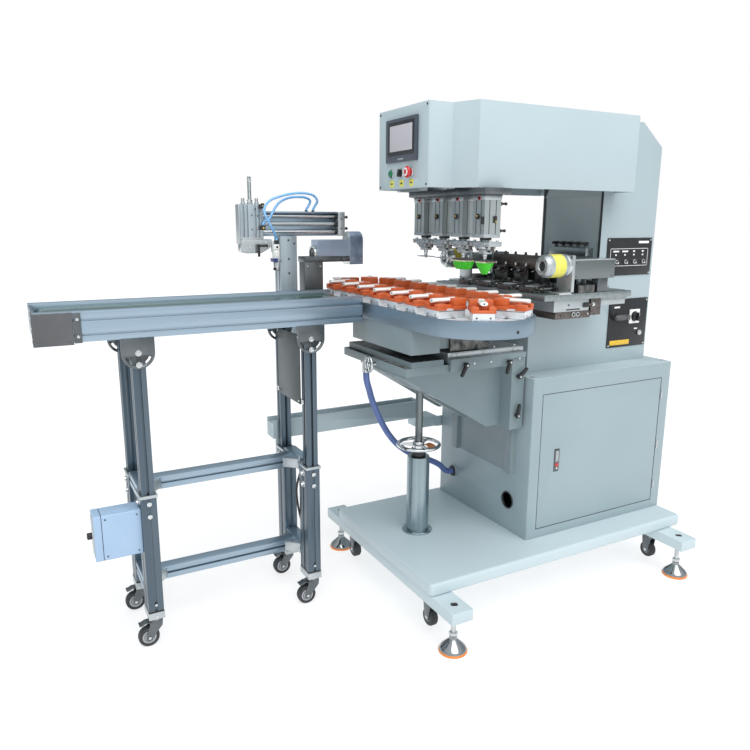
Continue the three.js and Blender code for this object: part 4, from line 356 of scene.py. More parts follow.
foot_rubber = finish("foot_rubber", ((0.75, 0.20, 0.03), (0.85, 0.27, 0.05)), (0.4, 0.55), grain=(400, 0.1),
    patch=30)
pale_wood = finish("pad_backing", ((0.62, 0.60, 0.44), (0.74, 0.72, 0.56)), (0.4, 0.55), grain=(160, 0.1),
    patch=30)
ink_black = finish("wet_ink", ((0.006, 0.006, 0.007), (0.02, 0.02, 0.022)), (0.04, 0.16), patch=40, coat=0.4)
old_label = finish("aged_label", ((0.36, 0.30, 0.02), (0.50, 0.42, 0.05)), (0.3, 0.5), grain=(120, 0.3),
    patch=30)
cover_steel = finish("satin_cover", ((0.16, 0.18, 0.182), (0.22, 0.245, 0.245)), (0.3, 0.42), 0.85,
    grain=(700, 0.05), stretch=(0.05, 1, 1), patch=8)
# Darker copy of the enamel for the way plate under the cabinet rails: painted shade.
shaded_way_enamel = finish("shaded_way_enamel", ((0.20, 0.255, 0.275), (0.225, 0.285, 0.305)), (0.3, 0.44), grain=(300, 0.06),
    patch=8)
way_steel = finish("way_steel", ((0.16, 0.19, 0.20), (0.22, 0.25, 0.26)), (0.26, 0.4), 0.9, grain=(80, 0.06),
    stretch=(9, 9, 0.4), patch=8)
# Near-black for the faces inside the column's throat: painted shade.
painted_throat_shade = finish("painted_throat_shade", ((0.022, 0.030, 0.032), (0.034, 0.043, 0.046)), (0.36, 0.5), 0.1,
    grain=(300, 0.05), patch=8)
panel_sheet = finish("panel_sheet", ((0.045, 0.062, 0.066), (0.085, 0.108, 0.113)), (0.3, 0.46), 0.55,
    grain=(500, 0.05), patch=7)
grey_plate = finish("grey_plate", ((0.42, 0.46, 0.48), (0.50, 0.54, 0.56)), (0.36, 0.5), grain=(400, 0.05),
    patch=20)
hub_grey = finish("hub_grey", ((0.30, 0.32, 0.34), (0.38, 0.40, 0.42)), (0.4, 0.55), grain=(300, 0.05),
    patch=30)
dryer_silver = finish("dryer_silver", ((0.40, 0.48, 0.62), (0.52, 0.60, 0.73)), (0.26, 0.4), 0.8,
    grain=(500, 0.05), stretch=(0.1, 1, 1), patch=12)
clouded_cap = finish("clouded_cap", ((0.09, 0.13, 0.21), (0.34, 0.41, 0.52)), (0.22, 0.5), 0.5,
    grain=(200, 0.1), patch=16)
bracket = finish("bracket_grey", ((0.13, 0.14, 0.145), (0.20, 0.21, 0.215)), (0.34, 0.5), 0.7,
    grain=(300, 0.1), patch=10)
white_ink = finish("white_ink", ((0.8, 0.8, 0.8), (0.9, 0.9, 0.9)), (0.5, 0.6), patch=60)
for piece, material in ((suction_hose, hose_rubber), (long_tube, tube_blue), (short_tube, tube_blue),
        (control_lead, black), (motor_lead, black)):
    piece.data.materials.append(material)
print(len(bpy.data.materials), "materials so far")

# %% [markdown]
# The touch panel shows a page of coloured buttons. Rows and columns of blocks say that at this size, so a
# brick pattern tints a bright page, and no word is drawn. It glows a little, as a lit display does.

# %% Display finish
display = bpy.data.materials.new("lit_display")
display.use_nodes = True
add, link = display.node_tree.nodes.new, display.node_tree.links.new
shader = display.node_tree.nodes["Principled BSDF"]
swing = add("ShaderNodeMapping")
swing.inputs["Rotation"].default_value = (math.pi / 2, 0, math.pi / 2)
bricks = add("ShaderNodeTexBrick")
bricks.offset = 0.35
for socket, value in (("Scale", 44), ("Mortar Size", 0.09), ("Color1", (0.50, 0.38, 0.32, 1)),
        ("Color2", (0.26, 0.36, 0.42, 1)), ("Mortar", (0.44, 0.42, 0.46, 1))):
    bricks.inputs[socket].default_value = value
link(add("ShaderNodeTexCoord").outputs["Object"], swing.inputs["Vector"])
link(swing.outputs["Vector"], bricks.inputs["Vector"])
for socket in ("Base Color", "Emission Color"):
    link(bricks.outputs["Color"], shader.inputs[socket])
shader.inputs["Emission Strength"].default_value = 0.2
shader.inputs["Roughness"].default_value = 0.18

# %% [markdown]
# Every new part starts as one of Blender's own shapes, is shaped in edit mode and gets its edges broken by
# a Bevel modifier that is applied at once. These helpers keep that short: a box, a round bar, a turned part
# that is one spun outline, and a plate that is one raised outline. They all end at the origin, unscaled.

# %% Modelling helpers
def only(piece):
    if bpy.context.mode != "OBJECT":
        bpy.ops.object.mode_set(mode="OBJECT")
    bpy.ops.object.select_all(action="DESELECT")
    piece.select_set(True)
    bpy.context.view_layer.objects.active = piece


def settle(piece, material, edge=0.0, rounds=2):
    only(piece)
    bpy.ops.object.transform_apply(location=True, rotation=True, scale=True)
    if edge:
        rounding = piece.modifiers.new("edges", "BEVEL")
        rounding.width = edge * MM
        rounding.segments = rounds
        rounding.limit_method = "ANGLE"
        rounding.angle_limit = math.radians(35)
        rounding.use_clamp_overlap = True
        bpy.ops.object.modifier_apply(modifier=rounding.name)
    piece.data.materials.clear()
    piece.data.materials.append(material)
    bpy.ops.object.shade_smooth_by_angle(angle=math.radians(32))
    return piece


def box(x0, x1, y0, y1, z0, z1, material, edge=0.6, rounds=2):
    bpy.ops.mesh.primitive_cube_add(size=1, location=at((x0 + x1) / 2, (y0 + y1) / 2, (z0 + z1) / 2),
        scale=((x1 - x0) * MM, (y1 - y0) * MM, (z1 - z0) * MM))
    return settle(bpy.context.active_object, material, edge, rounds)


AXIS_TURN = {"x": (0, math.pi / 2, 0), "y": (-math.pi / 2, 0, 0), "z": (0, 0, 0)}


def on_axis(axis, along, u, v):
    return {"x": at(along, u, v), "y": at(u, along, v), "z": at(u, v, along)}[axis]


def bar(axis, radius, a0, a1, u, v, material, edge=0.5, sides=32, rounds=2):
    bpy.ops.mesh.primitive_cylinder_add(vertices=sides, radius=radius * MM, depth=abs(a1 - a0) * MM,
        location=on_axis(axis, (a0 + a1) / 2, u, v), rotation=AXIS_TURN[axis])
    return settle(bpy.context.active_object, material, edge, rounds)


def trace(points, closed):
    bpy.ops.mesh.primitive_plane_add(size=0.001)
    line = bpy.context.active_object
    bpy.ops.object.mode_set(mode="EDIT")
    bpy.ops.mesh.merge(type="CENTER")
    bpy.ops.transform.translate(value=points[0])
    for before, after in zip(points, points[1:]):
        bpy.ops.mesh.extrude_vertices_move(TRANSFORM_OT_translate={"value": Vector(after) - Vector(before)})
    bpy.ops.mesh.select_all(action="SELECT")
    if closed:
        bpy.ops.mesh.edge_face_add()
    return line


def turned(axis, profile, along, u, v, material, edge=0.0, steps=36):
    piece = trace([Vector((r * MM, 0, h * MM)) for r, h in profile], False)
    bpy.ops.mesh.spin(steps=steps, angle=2 * math.pi, center=(0, 0, 0), axis=(0, 0, 1))
    bpy.ops.mesh.select_all(action="SELECT")
    bpy.ops.mesh.remove_doubles(threshold=1e-5)
    bpy.ops.mesh.normals_make_consistent(inside=False)
    bpy.ops.object.mode_set(mode="OBJECT")
    piece.rotation_euler = AXIS_TURN[axis]
    piece.location = on_axis(axis, along, u, v)
    return settle(piece, material, edge)


def plate(axis, outline, a0, a1, material, edge=0.6, rounds=2):
    lay = {"x": lambda p: at(a0, p[0], p[1]), "y": lambda p: at(p[0], a0, p[1]),
        "z": lambda p: at(p[0], p[1], a0)}
    piece = trace([lay[axis](p) for p in outline], True)
    rise = {"x": (1, 0, 0), "y": (0, 1, 0), "z": (0, 0, 1)}[axis]
    bpy.ops.mesh.extrude_region_move(TRANSFORM_OT_translate={"value": Vector(rise) * (a1 - a0) * MM})
    bpy.ops.mesh.select_all(action="SELECT")
    bpy.ops.mesh.normals_make_consistent(inside=False)
    bpy.ops.object.mode_set(mode="OBJECT")
    return settle(piece, material, edge, rounds)


def arc_points(u, v, radius, start, end, steps):
    angles = [math.radians(start + (end - start) * i / steps) for i in range(steps + 1)]
    return [(u + radius * math.cos(a), v + radius * math.sin(a)) for a in angles]


def rounded(u0, u1, v0, v1, radius, steps=5):
    return (arc_points(u1 - radius, v0 + radius, radius, -90, 0, steps)
        + arc_points(u1 - radius, v1 - radius, radius, 0, 90, steps)
        + arc_points(u0 + radius, v1 - radius, radius, 90, 180, steps)
        + arc_points(u0 + radius, v0 + radius, radius, 180, 270, steps))


def ring(axis, radius, thick, along, u, v, material, major=48, minor=12):
    bpy.ops.mesh.primitive_torus_add(major_radius=radius * MM, minor_radius=thick * MM, major_segments=major,
        minor_segments=minor, location=on_axis(axis, along, u, v), rotation=AXIS_TURN[axis])
    return settle(bpy.context.active_object, material)


def again(piece, move=(0, 0, 0), spin=0.0, about=(0, 0, 0)):
    twin = piece.copy()
    twin.data = piece.data.copy()
    bpy.context.scene.collection.objects.link(twin)
    pivot = at(*about)
    twin.data.transform(Matrix.Translation(Vector(move) * MM) @ Matrix.Translation(pivot)
        @ Matrix.Rotation(math.radians(spin), 4, "Z") @ Matrix.Translation(-pivot))
    return twin


def reshape(piece, matrix, pivot):
    piece.data.transform(Matrix.Translation(pivot) @ matrix @ Matrix.Translation(-pivot))


# %% [markdown]
# Parts that belong together are joined into one piece, which rides on its body. Where a solid of the model
# already has the right shape, a copy of it is merged, its flat faces are joined and its edges are broken,
# so that it catches light as a machined or folded edge does; the copy then stands for the solid.

# %% Joining, cutting and rounding helpers
def joined(parts):
    only(parts[0])
    for part in parts[1:]:
        part.select_set(True)
    if len(parts) > 1:
        bpy.ops.object.join()
    return bpy.context.active_object


def cut_out(piece, cutter):
    only(piece)
    cut = piece.modifiers.new("opening", "BOOLEAN")
    cut.object = cutter
    bpy.ops.object.modifier_apply(modifier=cut.name)
    bpy.data.objects.remove(cutter)
    return piece


def gather(name, parts, body, nodes=()):
    piece = joined(parts)
    piece.name = name
    piece.data.name = name
    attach(piece, body)
    if nodes:
        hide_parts(*nodes)
    print(name, len(piece.data.polygons), "faces")
    return piece


def smoothed(node, material, edge=0.8, rounds=2):
    solid = NODES[node]
    piece = solid.copy()
    piece.data = solid.data.copy()
    for key in [k for k in piece.keys() if k.startswith("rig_")]:
        del piece[key]
    bpy.context.scene.collection.objects.link(piece)
    piece.parent = None
    piece.name = node + "_shell"
    only(piece)
    bpy.ops.object.mode_set(mode="EDIT")
    bpy.ops.mesh.select_all(action="SELECT")
    bpy.ops.mesh.remove_doubles(threshold=2e-5)
    bpy.ops.mesh.dissolve_limited(angle_limit=math.radians(1))
    bpy.ops.object.mode_set(mode="OBJECT")
    return settle(piece, material, edge, rounds)


def tint(piece, material, where):
    """Gives a material to the faces whose middle, in machine millimetres, passes the test."""
    piece.data.materials.append(material)
    for face in piece.data.polygons:
        if where(*(face.center / MM + CORNER)):
            face.material_index = len(piece.data.materials) - 1


bpy.ops.object.select_all(action="DESELECT")
BODY_OF = {n: body for body, members in frame["record"]["behaviour"]["bodies"].items() for n in members}

# %% [markdown]
# The floor is a wide pale sheet that melts into a white room. The room is brighter towards the camera's left
# shoulder and dimmer behind the machine, so metal has something to mirror; the camera itself sees plain
# white. A broad, very soft key light from the upper left front does the modelling.

# %% Floor and lights
bpy.ops.mesh.primitive_plane_add(size=60, location=(0, 0, -0.0005))
floor = bpy.context.active_object
floor.name = "studio_floor"
floor.data.materials.append(finish("studio_floor", ((0.34, 0.34, 0.342), (0.35, 0.35, 0.352)), (0.8, 0.9),
        glow=2.0))
floor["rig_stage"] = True
room = bpy.data.worlds.new("studio_room")
bpy.context.scene.world = room
room.use_nodes = True
nodes, links = room.node_tree.nodes, room.node_tree.links
background = nodes["Background"]
way = nodes.new("ShaderNodeTexCoord")
towards = nodes.new("ShaderNodeVectorMath")
towards.operation = "DOT_PRODUCT"
towards.inputs[1].default_value = (-0.2, -0.52, 0.83)
links.new(way.outputs["Generated"], towards.inputs[0])
spread = nodes.new("ShaderNodeMapRange")
spread.inputs["From Min"].default_value = -1.0
links.new(towards.outputs["Value"], spread.inputs["Value"])
walls = nodes.new("ShaderNodeValToRGB")
dim, bright = walls.color_ramp.elements
dim.color = (0.14, 0.165, 0.185, 1)
bright.color, bright.position = (0.96, 0.99, 1.0, 1), 0.86
walls.color_ramp.elements.new(0.5).color = (0.43, 0.49, 0.525, 1)
links.new(spread.outputs["Result"], walls.inputs["Fac"])
seen = nodes.new("ShaderNodeLightPath")
choose = nodes.new("ShaderNodeMix")
choose.data_type = "RGBA"
choose.inputs[7].default_value = (1, 1, 1, 1)
links.new(seen.outputs["Is Camera Ray"], choose.inputs["Factor"])
links.new(walls.outputs["Color"], choose.inputs[6])
links.new(choose.outputs[2], background.inputs["Color"])
key = bpy.data.lights.new("key_light", "SUN")
key.energy = 1.6
key.angle = math.radians(50)
key_holder = bpy.data.objects.new("key_light", key)
bpy.context.scene.collection.objects.link(key_holder)
key_holder.rotation_euler = Vector((-0.08, -0.54, 0.84)).to_track_quat("Z", "Y").to_euler()
bpy.context.scene.view_settings.view_transform = "Standard"

# %% [markdown]
# The big sheet and cast parts have plain shapes that the model already holds. What they lack is the small
# round on every edge, which paint and folding leave, so each gets a rounded copy in enamel.

# %% Enamelled body: cabinet, column, hood, head panel, beam
def shell(name, node, material, edge=0.8, rounds=2, zones=()):
    piece = smoothed(node, material, edge, rounds)
    for zone_material, where in zones:
        tint(piece, zone_material, where)
    return gather(name, [piece], BODY_OF[node], [node])


# Faces of the way plate, which take the darker way enamel as painted shade.
def under_cabinet_rails(x, y, z):
    return x < 487.9 and z > 449 and 185 < y < 575


# The cabinet and its door take the darker enamel copy, which is painted shade. The cabinet's top faces take
# the paler enamel, which is painted light on its top.
shell("cabinet_shell", "cabinet", low_enamel, 1.4, 3,
    [(enamel, lambda x, y, z: z > 824.5), (shaded_way_enamel, under_cabinet_rails),
        (zinc, lambda x, y, z: 492.5 < x < 1198 and 560 < y < 683)])
shell("door_pan", "cabinet_door", low_enamel, 1.2, 3)
# The column's throat faces are tinted near-black, which is painted shade in the throat.
shell("column_casting", "column", column_shaded_enamel, 2.6, 3,
    [(ground, lambda x, y, z: x < 869 and 1494 < z < 1522), (painted_throat_shade,
            lambda x, y, z: x < 872 and 1134 < z < 1470 and 219 < y < 541)])
shell("arm_hood", "arm_cover", enamel, 1.0, 2)
shell("head_plate", "head_panel", enamel, 0.7, 2)
shell("tie_beam_shell", "tie_beam", enamel, 1.2, 2)


# %% [markdown]
# The base stands on four levelling feet: a turned chrome dome on an orange rubber pad, a threaded stem and
# a hexagon nut. The dome is one outline spun round, the thread is a stack of rings, and each foot is a copy.

# %% Base plate, outriggers and feet
# The base plate and outriggers take the paler enamel copy, which is painted light on the base.
base_parts = [plate("z", rounded(0, 1203, 0, 709, 16), 166, 211, base_lit_enamel, 9, 4)]
for x in (46, 1116):
    base_parts.append(box(x - 40, x + 40, -115, 824, 126, 165.8, base_lit_enamel, 1.6))
    for y in (-66, 775):
        base_parts.append(ring("z", 12, 1.2, 166.2, x, y, zinc))
        base_parts.append(bar("z", 11.5, 150, 166.1, x, y, black, 0.2))
    base_parts += [bar("z", 13, 165, 169, x, y, zinc, 0.6, 6) for y in (60, 649)]
gather("base_plate", base_parts, "machine", ["base_frame"])


def levelling_foot(x, y):
    # The dome takes the darker chrome copy, which is painted shade under the outriggers.
    dome = turned("z", [(0, 7), (44.6, 7), (45.4, 9.5), (45, 12), (42, 17), (34, 25), (24, 34), (16, 42),
            (13, 45), (12.6, 56), (9, 57), (0, 57)], 0, x, y, shaded_foot_chrome, 0.5, 48)
    pad = turned("z", [(0, 0), (45.5, 0), (47.5, 2), (47.5, 7), (45.5, 8.6), (0, 8.6)], 0, x, y, foot_rubber,
        0.4, 48)
    stem = bar("z", 8, 50, 126, x, y, zinc, 0.4, 24)
    threads = [ring("z", 7.6, 0.7, 60 + 3.2 * i, x, y, zinc, 24, 6) for i in range(17)]
    nuts = [bar("z", 15, z, z + 11, x, y, zinc, 1.0, 6) for z in (58, 114.6)]
    return [dome, pad, stem, *threads, *nuts]


def at_corners(name, parts, reach_x, reach_y):
    first = gather(name + "_1", parts, "machine")
    for i, (dx, dy) in enumerate(((0, reach_y), (reach_x, 0), (reach_x, reach_y)), 2):
        twin = again(first, (dx, dy, 0))
        twin.name = f"{name}_{i}"
        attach(twin, "machine")


OUTRIGGERS_APART = 1070
at_corners("levelling_foot", levelling_foot(46, -66), OUTRIGGERS_APART, 841)

# %% [markdown]
# Four small casters are tucked behind the feet, for moving the machine. Tyre and hub are turned outlines
# and the cheeks of the fork are plates, as the real ones are; three of the four are copies of the first.

# %% Tucked transport casters of the base
def transport_caster(x, y):
    tyre = turned("x", [(7, -13), (28, -13), (31, -9), (31, 9), (28, 13), (7, 13), (7, -13)], x, y, 51,
        tyre_rubber, 0.3, 40)
    hub = turned("x", [(0, -13.4), (16, -13.4), (17, -11), (17, 11), (16, 13.4), (0, 13.4)], x, y, 51, dark,
        0.4, 30)
    cheeks = [plate("x", [(y - 12, 45), (y + 12, 45), (y + 22, 117), (y - 22, 117)], x + s, x + s + 3.4, dark,
            0.6) for s in (-17.2, 13.8)]
    head = box(x - 31, x + 31, y - 31, y + 31, 117, 125.8, dark, 1.2)
    bolts = [bar("z", 5, 114.5, 118, x + a, y + b, zinc, 0.5, 6) for a in (-24, 24) for b in (-24, 24)]
    axle = bar("x", 6, x - 18, x + 18, y, 51, zinc, 0.8, 20)
    return [tyre, hub, *cheeks, head, *bolts, axle]


at_corners("transport_caster", transport_caster(46, 70), OUTRIGGERS_APART, 569)

# %% [markdown]
# The door latch is a paddle in a dish: a chrome lever with a round key lock below it. Small hinges and
# black strips in the door's gap, which are painted shade in the gap, show where the door opens, and a
# grommet lines each hose hole.

# %% Cabinet details: latch, grommets, hinge pins, top screws and the seam of the door
latch_parts = [plate("y", rounded(605, 629, 468, 547, 6), 108.8, 115.2, grey, 1.6, 3),
    box(610, 624, 107.9, 110.5, 500, 542, hub_grey, 0.8), box(609, 625, 107.6, 110.5, 483, 494, red_cap, 0.6),
    bar("y", 5, 107.4, 112, 617, 475, zinc, 0.8, 28)]
gather("latch_paddle", latch_parts, "latch", ["door_latch"])
trim = [ring("x", 31, 3, 488, 226, 331, black), ring("x", 18, 5.5, 477, 576, 336, black)]
trim += [bar("z", 3.2, z, z + 34, 1157, 109.4, zinc, 0.6, 20) for z in (300, 470, 680)]
trim += [bar("z", 9, 826, 829, x, y, zinc, 0.8, 6) for x in (506, 1184) for y in (140, 660)]
gather("cabinet_trim", trim, "machine")
# Black strips in the door gap and behind the door: painted shade in the gap.
seam = [box(536, 1148, 131.2, 133, 249, 763, black, 0.4)]
seam += [box(x, x + 2.2, 110.7, 113, 246, 766, black, 0) for x in (532.7, 1149.2)]
seam += [box(533, 1151, 110.7, 113, z, z + 2.0, black, 0) for z in (245.9, 764.2)]
gather("door_seal", seam, "machine")

# %% [markdown]
# The column's back has a louvred plate, so that warm air can leave. Each louvre is one small raised
# triangle, repeated upwards at one pitch, and four hexagon screws hold the plate.

# %% Column details: louvres on the back and their screws
louvres = [plate("y", [(1160, z), (1166, z - 9), (1160, z - 9)], 300, 460, enamel, 0.3)
    for z in range(1300, 1440, 16)]
louvres += [bar("x", 4, 1159, 1163, y, z, zinc, 0.6, 6) for y in (285, 475) for z in (1285, 1435)]
louvres += [box(1160, 1161.5, 278, 482, 1278, 1442, enamel, 0.5)]
gather("column_louvres", louvres, "machine")

# %% [markdown]
# The head carries a colour touch panel and three controls. The bezel is a rounded copy of the solid; the
# glass, the lit page and the power lamp are thin plates on it. Each button is one outline spun round.

# %% Touch panel
panel = [smoothed("touch_panel", slate_plastic, 1.6, 3), plate("x", rounded(293, 464, 1586, 1695, 3), 86.1,
        87.3, matt, 0.3), plate("x", rounded(305, 451, 1600, 1683, 1.5), 85.7, 86.4, display, 0.15),
    plate("x", rounded(362, 398, 1572, 1577, 1), 86.0, 87.0, zinc, 0.2),
    bar("x", 1.6, 86.0, 87.3, 470, 1575, green_cap, 0.3, 16)]
gather("touch_panel_shell", panel, "machine", ["touch_panel"])
screws = [bar("x", 3.6, 93.2, 95.2, y, z, black, 0.6, 20) for y in (229, 531) for z in (1487, 1730)]
labels = [box(94.2, 95.1, y - 13, y + 13, 1484, 1507, yellow, 0.3) for y in (449, 384, 320)]
labels += [box(93.9, 94.4, y - 6, y + 6, 1493, 1498, matt, 0.1) for y in (449, 384, 320)]
gather("head_labels", screws + labels, "machine")


# %% Three push and turn controls
HEAD_FACE, BUTTON_Z = 94.8, 1529
START_Y, SELECTOR_Y, STOP_Y = 451, 386, 322


def bezel_ring(y):
    return turned("x", [(11.2, 0), (15.8, 0), (15.8, -2.4), (14.6, -4), (12.4, -4.2), (11.2, -3.2),
            (11.2, 0)], HEAD_FACE, y, BUTTON_Z, chrome, 0)


cap = turned("x", [(0, -9.6), (7, -9.4), (10.6, -8.4), (11.6, -6.6), (11.8, 0), (11, 1), (11, 30), (0, 30)],
    HEAD_FACE, START_Y, BUTTON_Z, green_cap)
gather("start_cap", [cap], "start_button", ["start_button"])
dial = turned("x", [(0, -5.4), (9.6, -5.4), (10.6, -4.6), (10.9, -3), (10.9, 30), (0, 30)], HEAD_FACE,
    SELECTOR_Y, BUTTON_Z, black)
grip = plate("x", rounded(381.5, 390.5, 1516.5, 1541.5, 4), 78.6, 91, black, 1.4, 3)
pointer = box(78.2, 79, 385.2, 386.8, 1531, 1540, white_ink, 0.1)
gather("selector_knob", [dial, grip, pointer], "selector", ["mode_selector"])
mushroom = turned("x", [(0, -24), (8, -23.7), (14, -22.4), (18, -19.6), (19.2, -16.6), (18.6, -13.6),
        (13, -12.4), (11.4, -11), (11, 30), (0, 30)], HEAD_FACE, STOP_Y, BUTTON_Z, red_cap)
face = turned("x", [(8.6, -24.2), (13.4, -23.2), (13.4, -22.4), (8.6, -23.4), (8.6, -24.2)], HEAD_FACE,
    STOP_Y, BUTTON_Z, white_ink)
gather("stop_mushroom", [mushroom, face], "stop_button", ["stop_button"])
gather("control_bezels", [bezel_ring(y) for y in (START_Y, SELECTOR_Y, STOP_Y)], "machine")

# %% [markdown]
# Two black control plates hang on the column: a row of small timers, and the main switch with a key lock.
# Their printed marks are raised by a tenth of a millimetre, a frame and rows of bars without any words.

# %% Timer plate
PLATE_FACE = 213.6


def mark(x0, x1, z0, z1):
    return box(x0, x1, PLATE_FACE - 0.25, PLATE_FACE + 0.3, z0, z1, white_ink, 0.05, 1)


timer = [plate("y", rounded(905, 1147, 1168, 1311, 3), 213.7, 216.7, matt, 0.6)]
timer += [bar("y", 3.6, 212.2, 214, x, z, chrome, 0.6, 20) for x in (913, 1139) for z in (1176, 1303)]
timer += [mark(923, 1127, 1204, 1205.8), mark(923, 1127, 1269.2, 1271), mark(923, 924.8, 1204, 1271),
    mark(1125.2, 1127, 1204, 1271), mark(1072, 1128, 1290, 1299)]
for i in range(4):
    x = 953 + 48.4 * i
    wide = 16 if i < 2 else 5
    timer += [mark(x - wide, x + wide, 1257, 1263), mark(x - 4, x + 4, 1244, 1249.5),
        bar("y", 8.5, 205.2, 213.8, x, 1221, zinc, 1.6, 24), bar("y", 5.4, 204.4, 206, x, 1221, black, 0.5,
            20), mark(x + 11, x + 19, 1213, 1219)]
gather("timer_plate", timer, "machine", ["timer_panel"])

# %% Power plate, main switch and key lock
power = [plate("y", rounded(940, 1152, 884, 1076, 3), 213.7, 216.7, matt, 0.6),
    plate("y", rounded(1052, 1108, 976, 1032, 3), 209.8, 213.9, white, 0.8, 3),
    bar("y", 20, 208.9, 210.2, 1080, 1004, black, 0.5, 40), bar("y", 11, 206.4, 213.8, 1113, 937, zinc, 1.2,
        32), bar("y", 7.5, 204.8, 207, 1113, 937, chrome, 0.6, 28),
    box(1112.2, 1113.8, 204.4, 205.2, 931.5, 942.5, black, 0.1),
    box(955, 1062, 212.9, 213.9, 893, 912, amber, 0.3), mark(968, 998, 1040, 1047),
    mark(1086, 1104, 951, 956)]
power += [bar("y", 3.6, 212.2, 214, x, z, chrome, 0.6, 20) for x in (948, 1144) for z in (892, 1068)]
power += [turned("x", [(0, 0), (7, 0), (9, 6), (12, 14), (12, 40), (10, 52), (5, 58), (0, 58)], 962, 199.6,
        1004, grey), box(1018, 1036, 190, 213.9, 994, 1014, grey, 2)]
gather("power_plate", power, "machine", ["power_panel"])
knob = [bar("y", 16.5, 197.6, 209.2, 1080, 1004, black, 1.8, 40, 3),
    plate("y", rounded(1075.6, 1084.4, 987.5, 1020.5, 3.4), 185.8, 199, black, 1.6, 3),
    box(1079.2, 1080.8, 185.4, 186, 1010, 1019, white_ink, 0.1),
    bar("y", 7.8, 209, 216, 1080, 1004, zinc, 0.2, 20)]
gather("main_switch", knob, "power_knob", ["rotary_switch"])

# %% [markdown]
# The knee slides up and down in front of the cabinet. A stainless tube holds its jack screw, and a chrome
# handwheel turns the nut. The wheel's rim is a torus, and its spokes and hub are turned parts.

# %% Jack tube and handwheel
JACK_X, JACK_Y, RIM_Z = 184, 385, 554.3
jack = [turned("z", [(0, 211.4), (57, 211.4), (57, 216), (55.6, 217.4), (42.2, 217.8), (42, 506), (40.6, 510),
            (14.6, 510), (14.6, 500), (0, 500)], 0, JACK_X, JACK_Y, stainless, 0, 64)]
bolt = bar("z", 4.2, 217, 222, 235.5, 385, zinc, 0.8, 6)
jack += [again(bolt, spin=45 + 90 * i, about=(JACK_X, JACK_Y, 0)) for i in range(4)]
bpy.data.objects.remove(bolt)
gather("jack_tube_turned", jack, "machine", ["jack_tube"])
wheel = [ring("z", 76.6, 7, RIM_Z, JACK_X, JACK_Y, chrome, 72, 16),
    turned("z", [(14.4, 541.4), (20, 541.4), (22, 543.4), (22, 563), (20, 566.4), (17.5, 567), (14.4, 566),
            (14.4, 541.4)], 0, JACK_X, JACK_Y, chrome), turned("z",
        [(14.4, 510.4), (25, 510.4), (27, 512.4), (27, 539), (25, 541.6), (14.4, 541.6), (14.4, 510.4)], 0,
        JACK_X, JACK_Y, black)]
spoke = turned("x", [(0, 20), (6, 22), (5, 46), (4.4, 60), (5.6, 73), (0, 76)], JACK_X, JACK_Y, RIM_Z, chrome,
    0, 20)
wheel += [again(spoke, spin=30 + 120 * i, about=(JACK_X, JACK_Y, 0)) for i in range(3)]
bpy.data.objects.remove(spoke)
arc = plate("z", [(JACK_X + u, JACK_Y + v) for u, v in arc_points(0, 0, 66, -85, 20, 20)
        + arc_points(0, 0, 34, 20, -85, 14)], 543.4, 545, foot_rubber, 0.3)
wheel.append(arc)
gather("jack_wheel_turned", wheel, "jack_wheel", ["jack_handwheel"])

# %% [markdown]
# The knee and the saddle are castings that are machined only where they slide. Their darker enamel is painted
# shade. So is the black on the knee's top and in the thin band under its flange, under the table housing; the
# knee's back face is its dark, oily way. The clamp levers are moulded: a tapered handle that grows out of a
# round hub.

# %% Knee, saddle and table
# The black zone on the knee's top and in the thin band under its flange is painted shade under the table
# housing. The back face is the knee's dark way.
shell("knee_casting", "knee", knee_shaded_enamel, 2.2, 3, [(ink_and_shade,
            lambda x, y, z: z > 923.5 and x < 131 or 904.5 < z < 906 or x > 472 and z < 904),
        (way_steel, lambda x, y, z: (x - 184) ** 2 + (y - 385) ** 2 < 15.5 ** 2 and z < 700),
        (zinc, lambda x, y, z: (x - 22) ** 2 + (y - 500) ** 2 < 17 ** 2 and z < 873)])
shell("saddle_slide", "saddle", knee_shaded_enamel, 1.2, 2, [(silver, lambda x, y, z: z > 923.9)])
shell("table_casting", "table_housing", table_shaded_enamel, 1.6, 3,
    [(silver, lambda x, y, z: z < 942.3 and x > 150), (ink_and_shade, lambda x, y, z: x > 150.5 and z > 942.4)])
table_trim = [box(166, 332, 171, 200, 944, 1034, ink_and_shade, 1.5), box(165, 470, 158, 163, 926, 940, silver, 0.8)]
table_trim += [bar("y", 5, 155.5, 159, x, 933, zinc, 0.8, 6) for x in (190, 300, 430)]
table_trim += [bar("z", 6, 941.4, 946, x, y, zinc, 0.8, 6) for x in (360, 450) for y in (185, 575)]
gather("table_trim", table_trim, "table")
gib = [bar("y", 4.5, 137.4, 140.2, x, 903, zinc, 0.8, 6) for x in (245, 315, 440)]
gather("saddle_gib_screws", gib, "saddle")


# %% Clamp levers
def clamp_lever(name, node, x, z, face, degrees):
    body = BODY_OF[node]
    hub = turned("y", [(0, -19), (6, -19), (8.6, -17.6), (9.4, -14), (9, -8), (7, -6), (5.6, -0.4),
            (0, -0.4)], face, x, z, black, 0, 28)
    handle = plate("y", [(x - 6, z - 1), (x - 5.2, z - 34), (x - 4.6, z - 40), (x - 1.8, z - 43.6),
            (x + 1.8, z - 43.6), (x + 4.6, z - 40), (x + 5.2, z - 34), (x + 6, z - 1)], face - 18, face - 7.4,
        black, 2.4, 3)
    reshape(handle, Matrix.Rotation(math.radians(-(degrees + 90)), 4, "Y"), at(x, 0, z))
    screw = bar("y", 4, face - 20, face - 18, x, z, zinc, 0.5, 20)
    gather(name, [hub, handle, screw], body, [node])


clamp_lever("saddle_lever_left", "saddle_lock_left", 205, 902, 139.7, 242)
clamp_lever("saddle_lever_right", "saddle_lock_right", 389, 896, 139.7, 252)
clamp_lever("knee_lever_upper", "knee_lock_upper", 446, 836, 153, 40)
clamp_lever("knee_lever_lower", "knee_lock_lower", 446, 692, 153, 82)

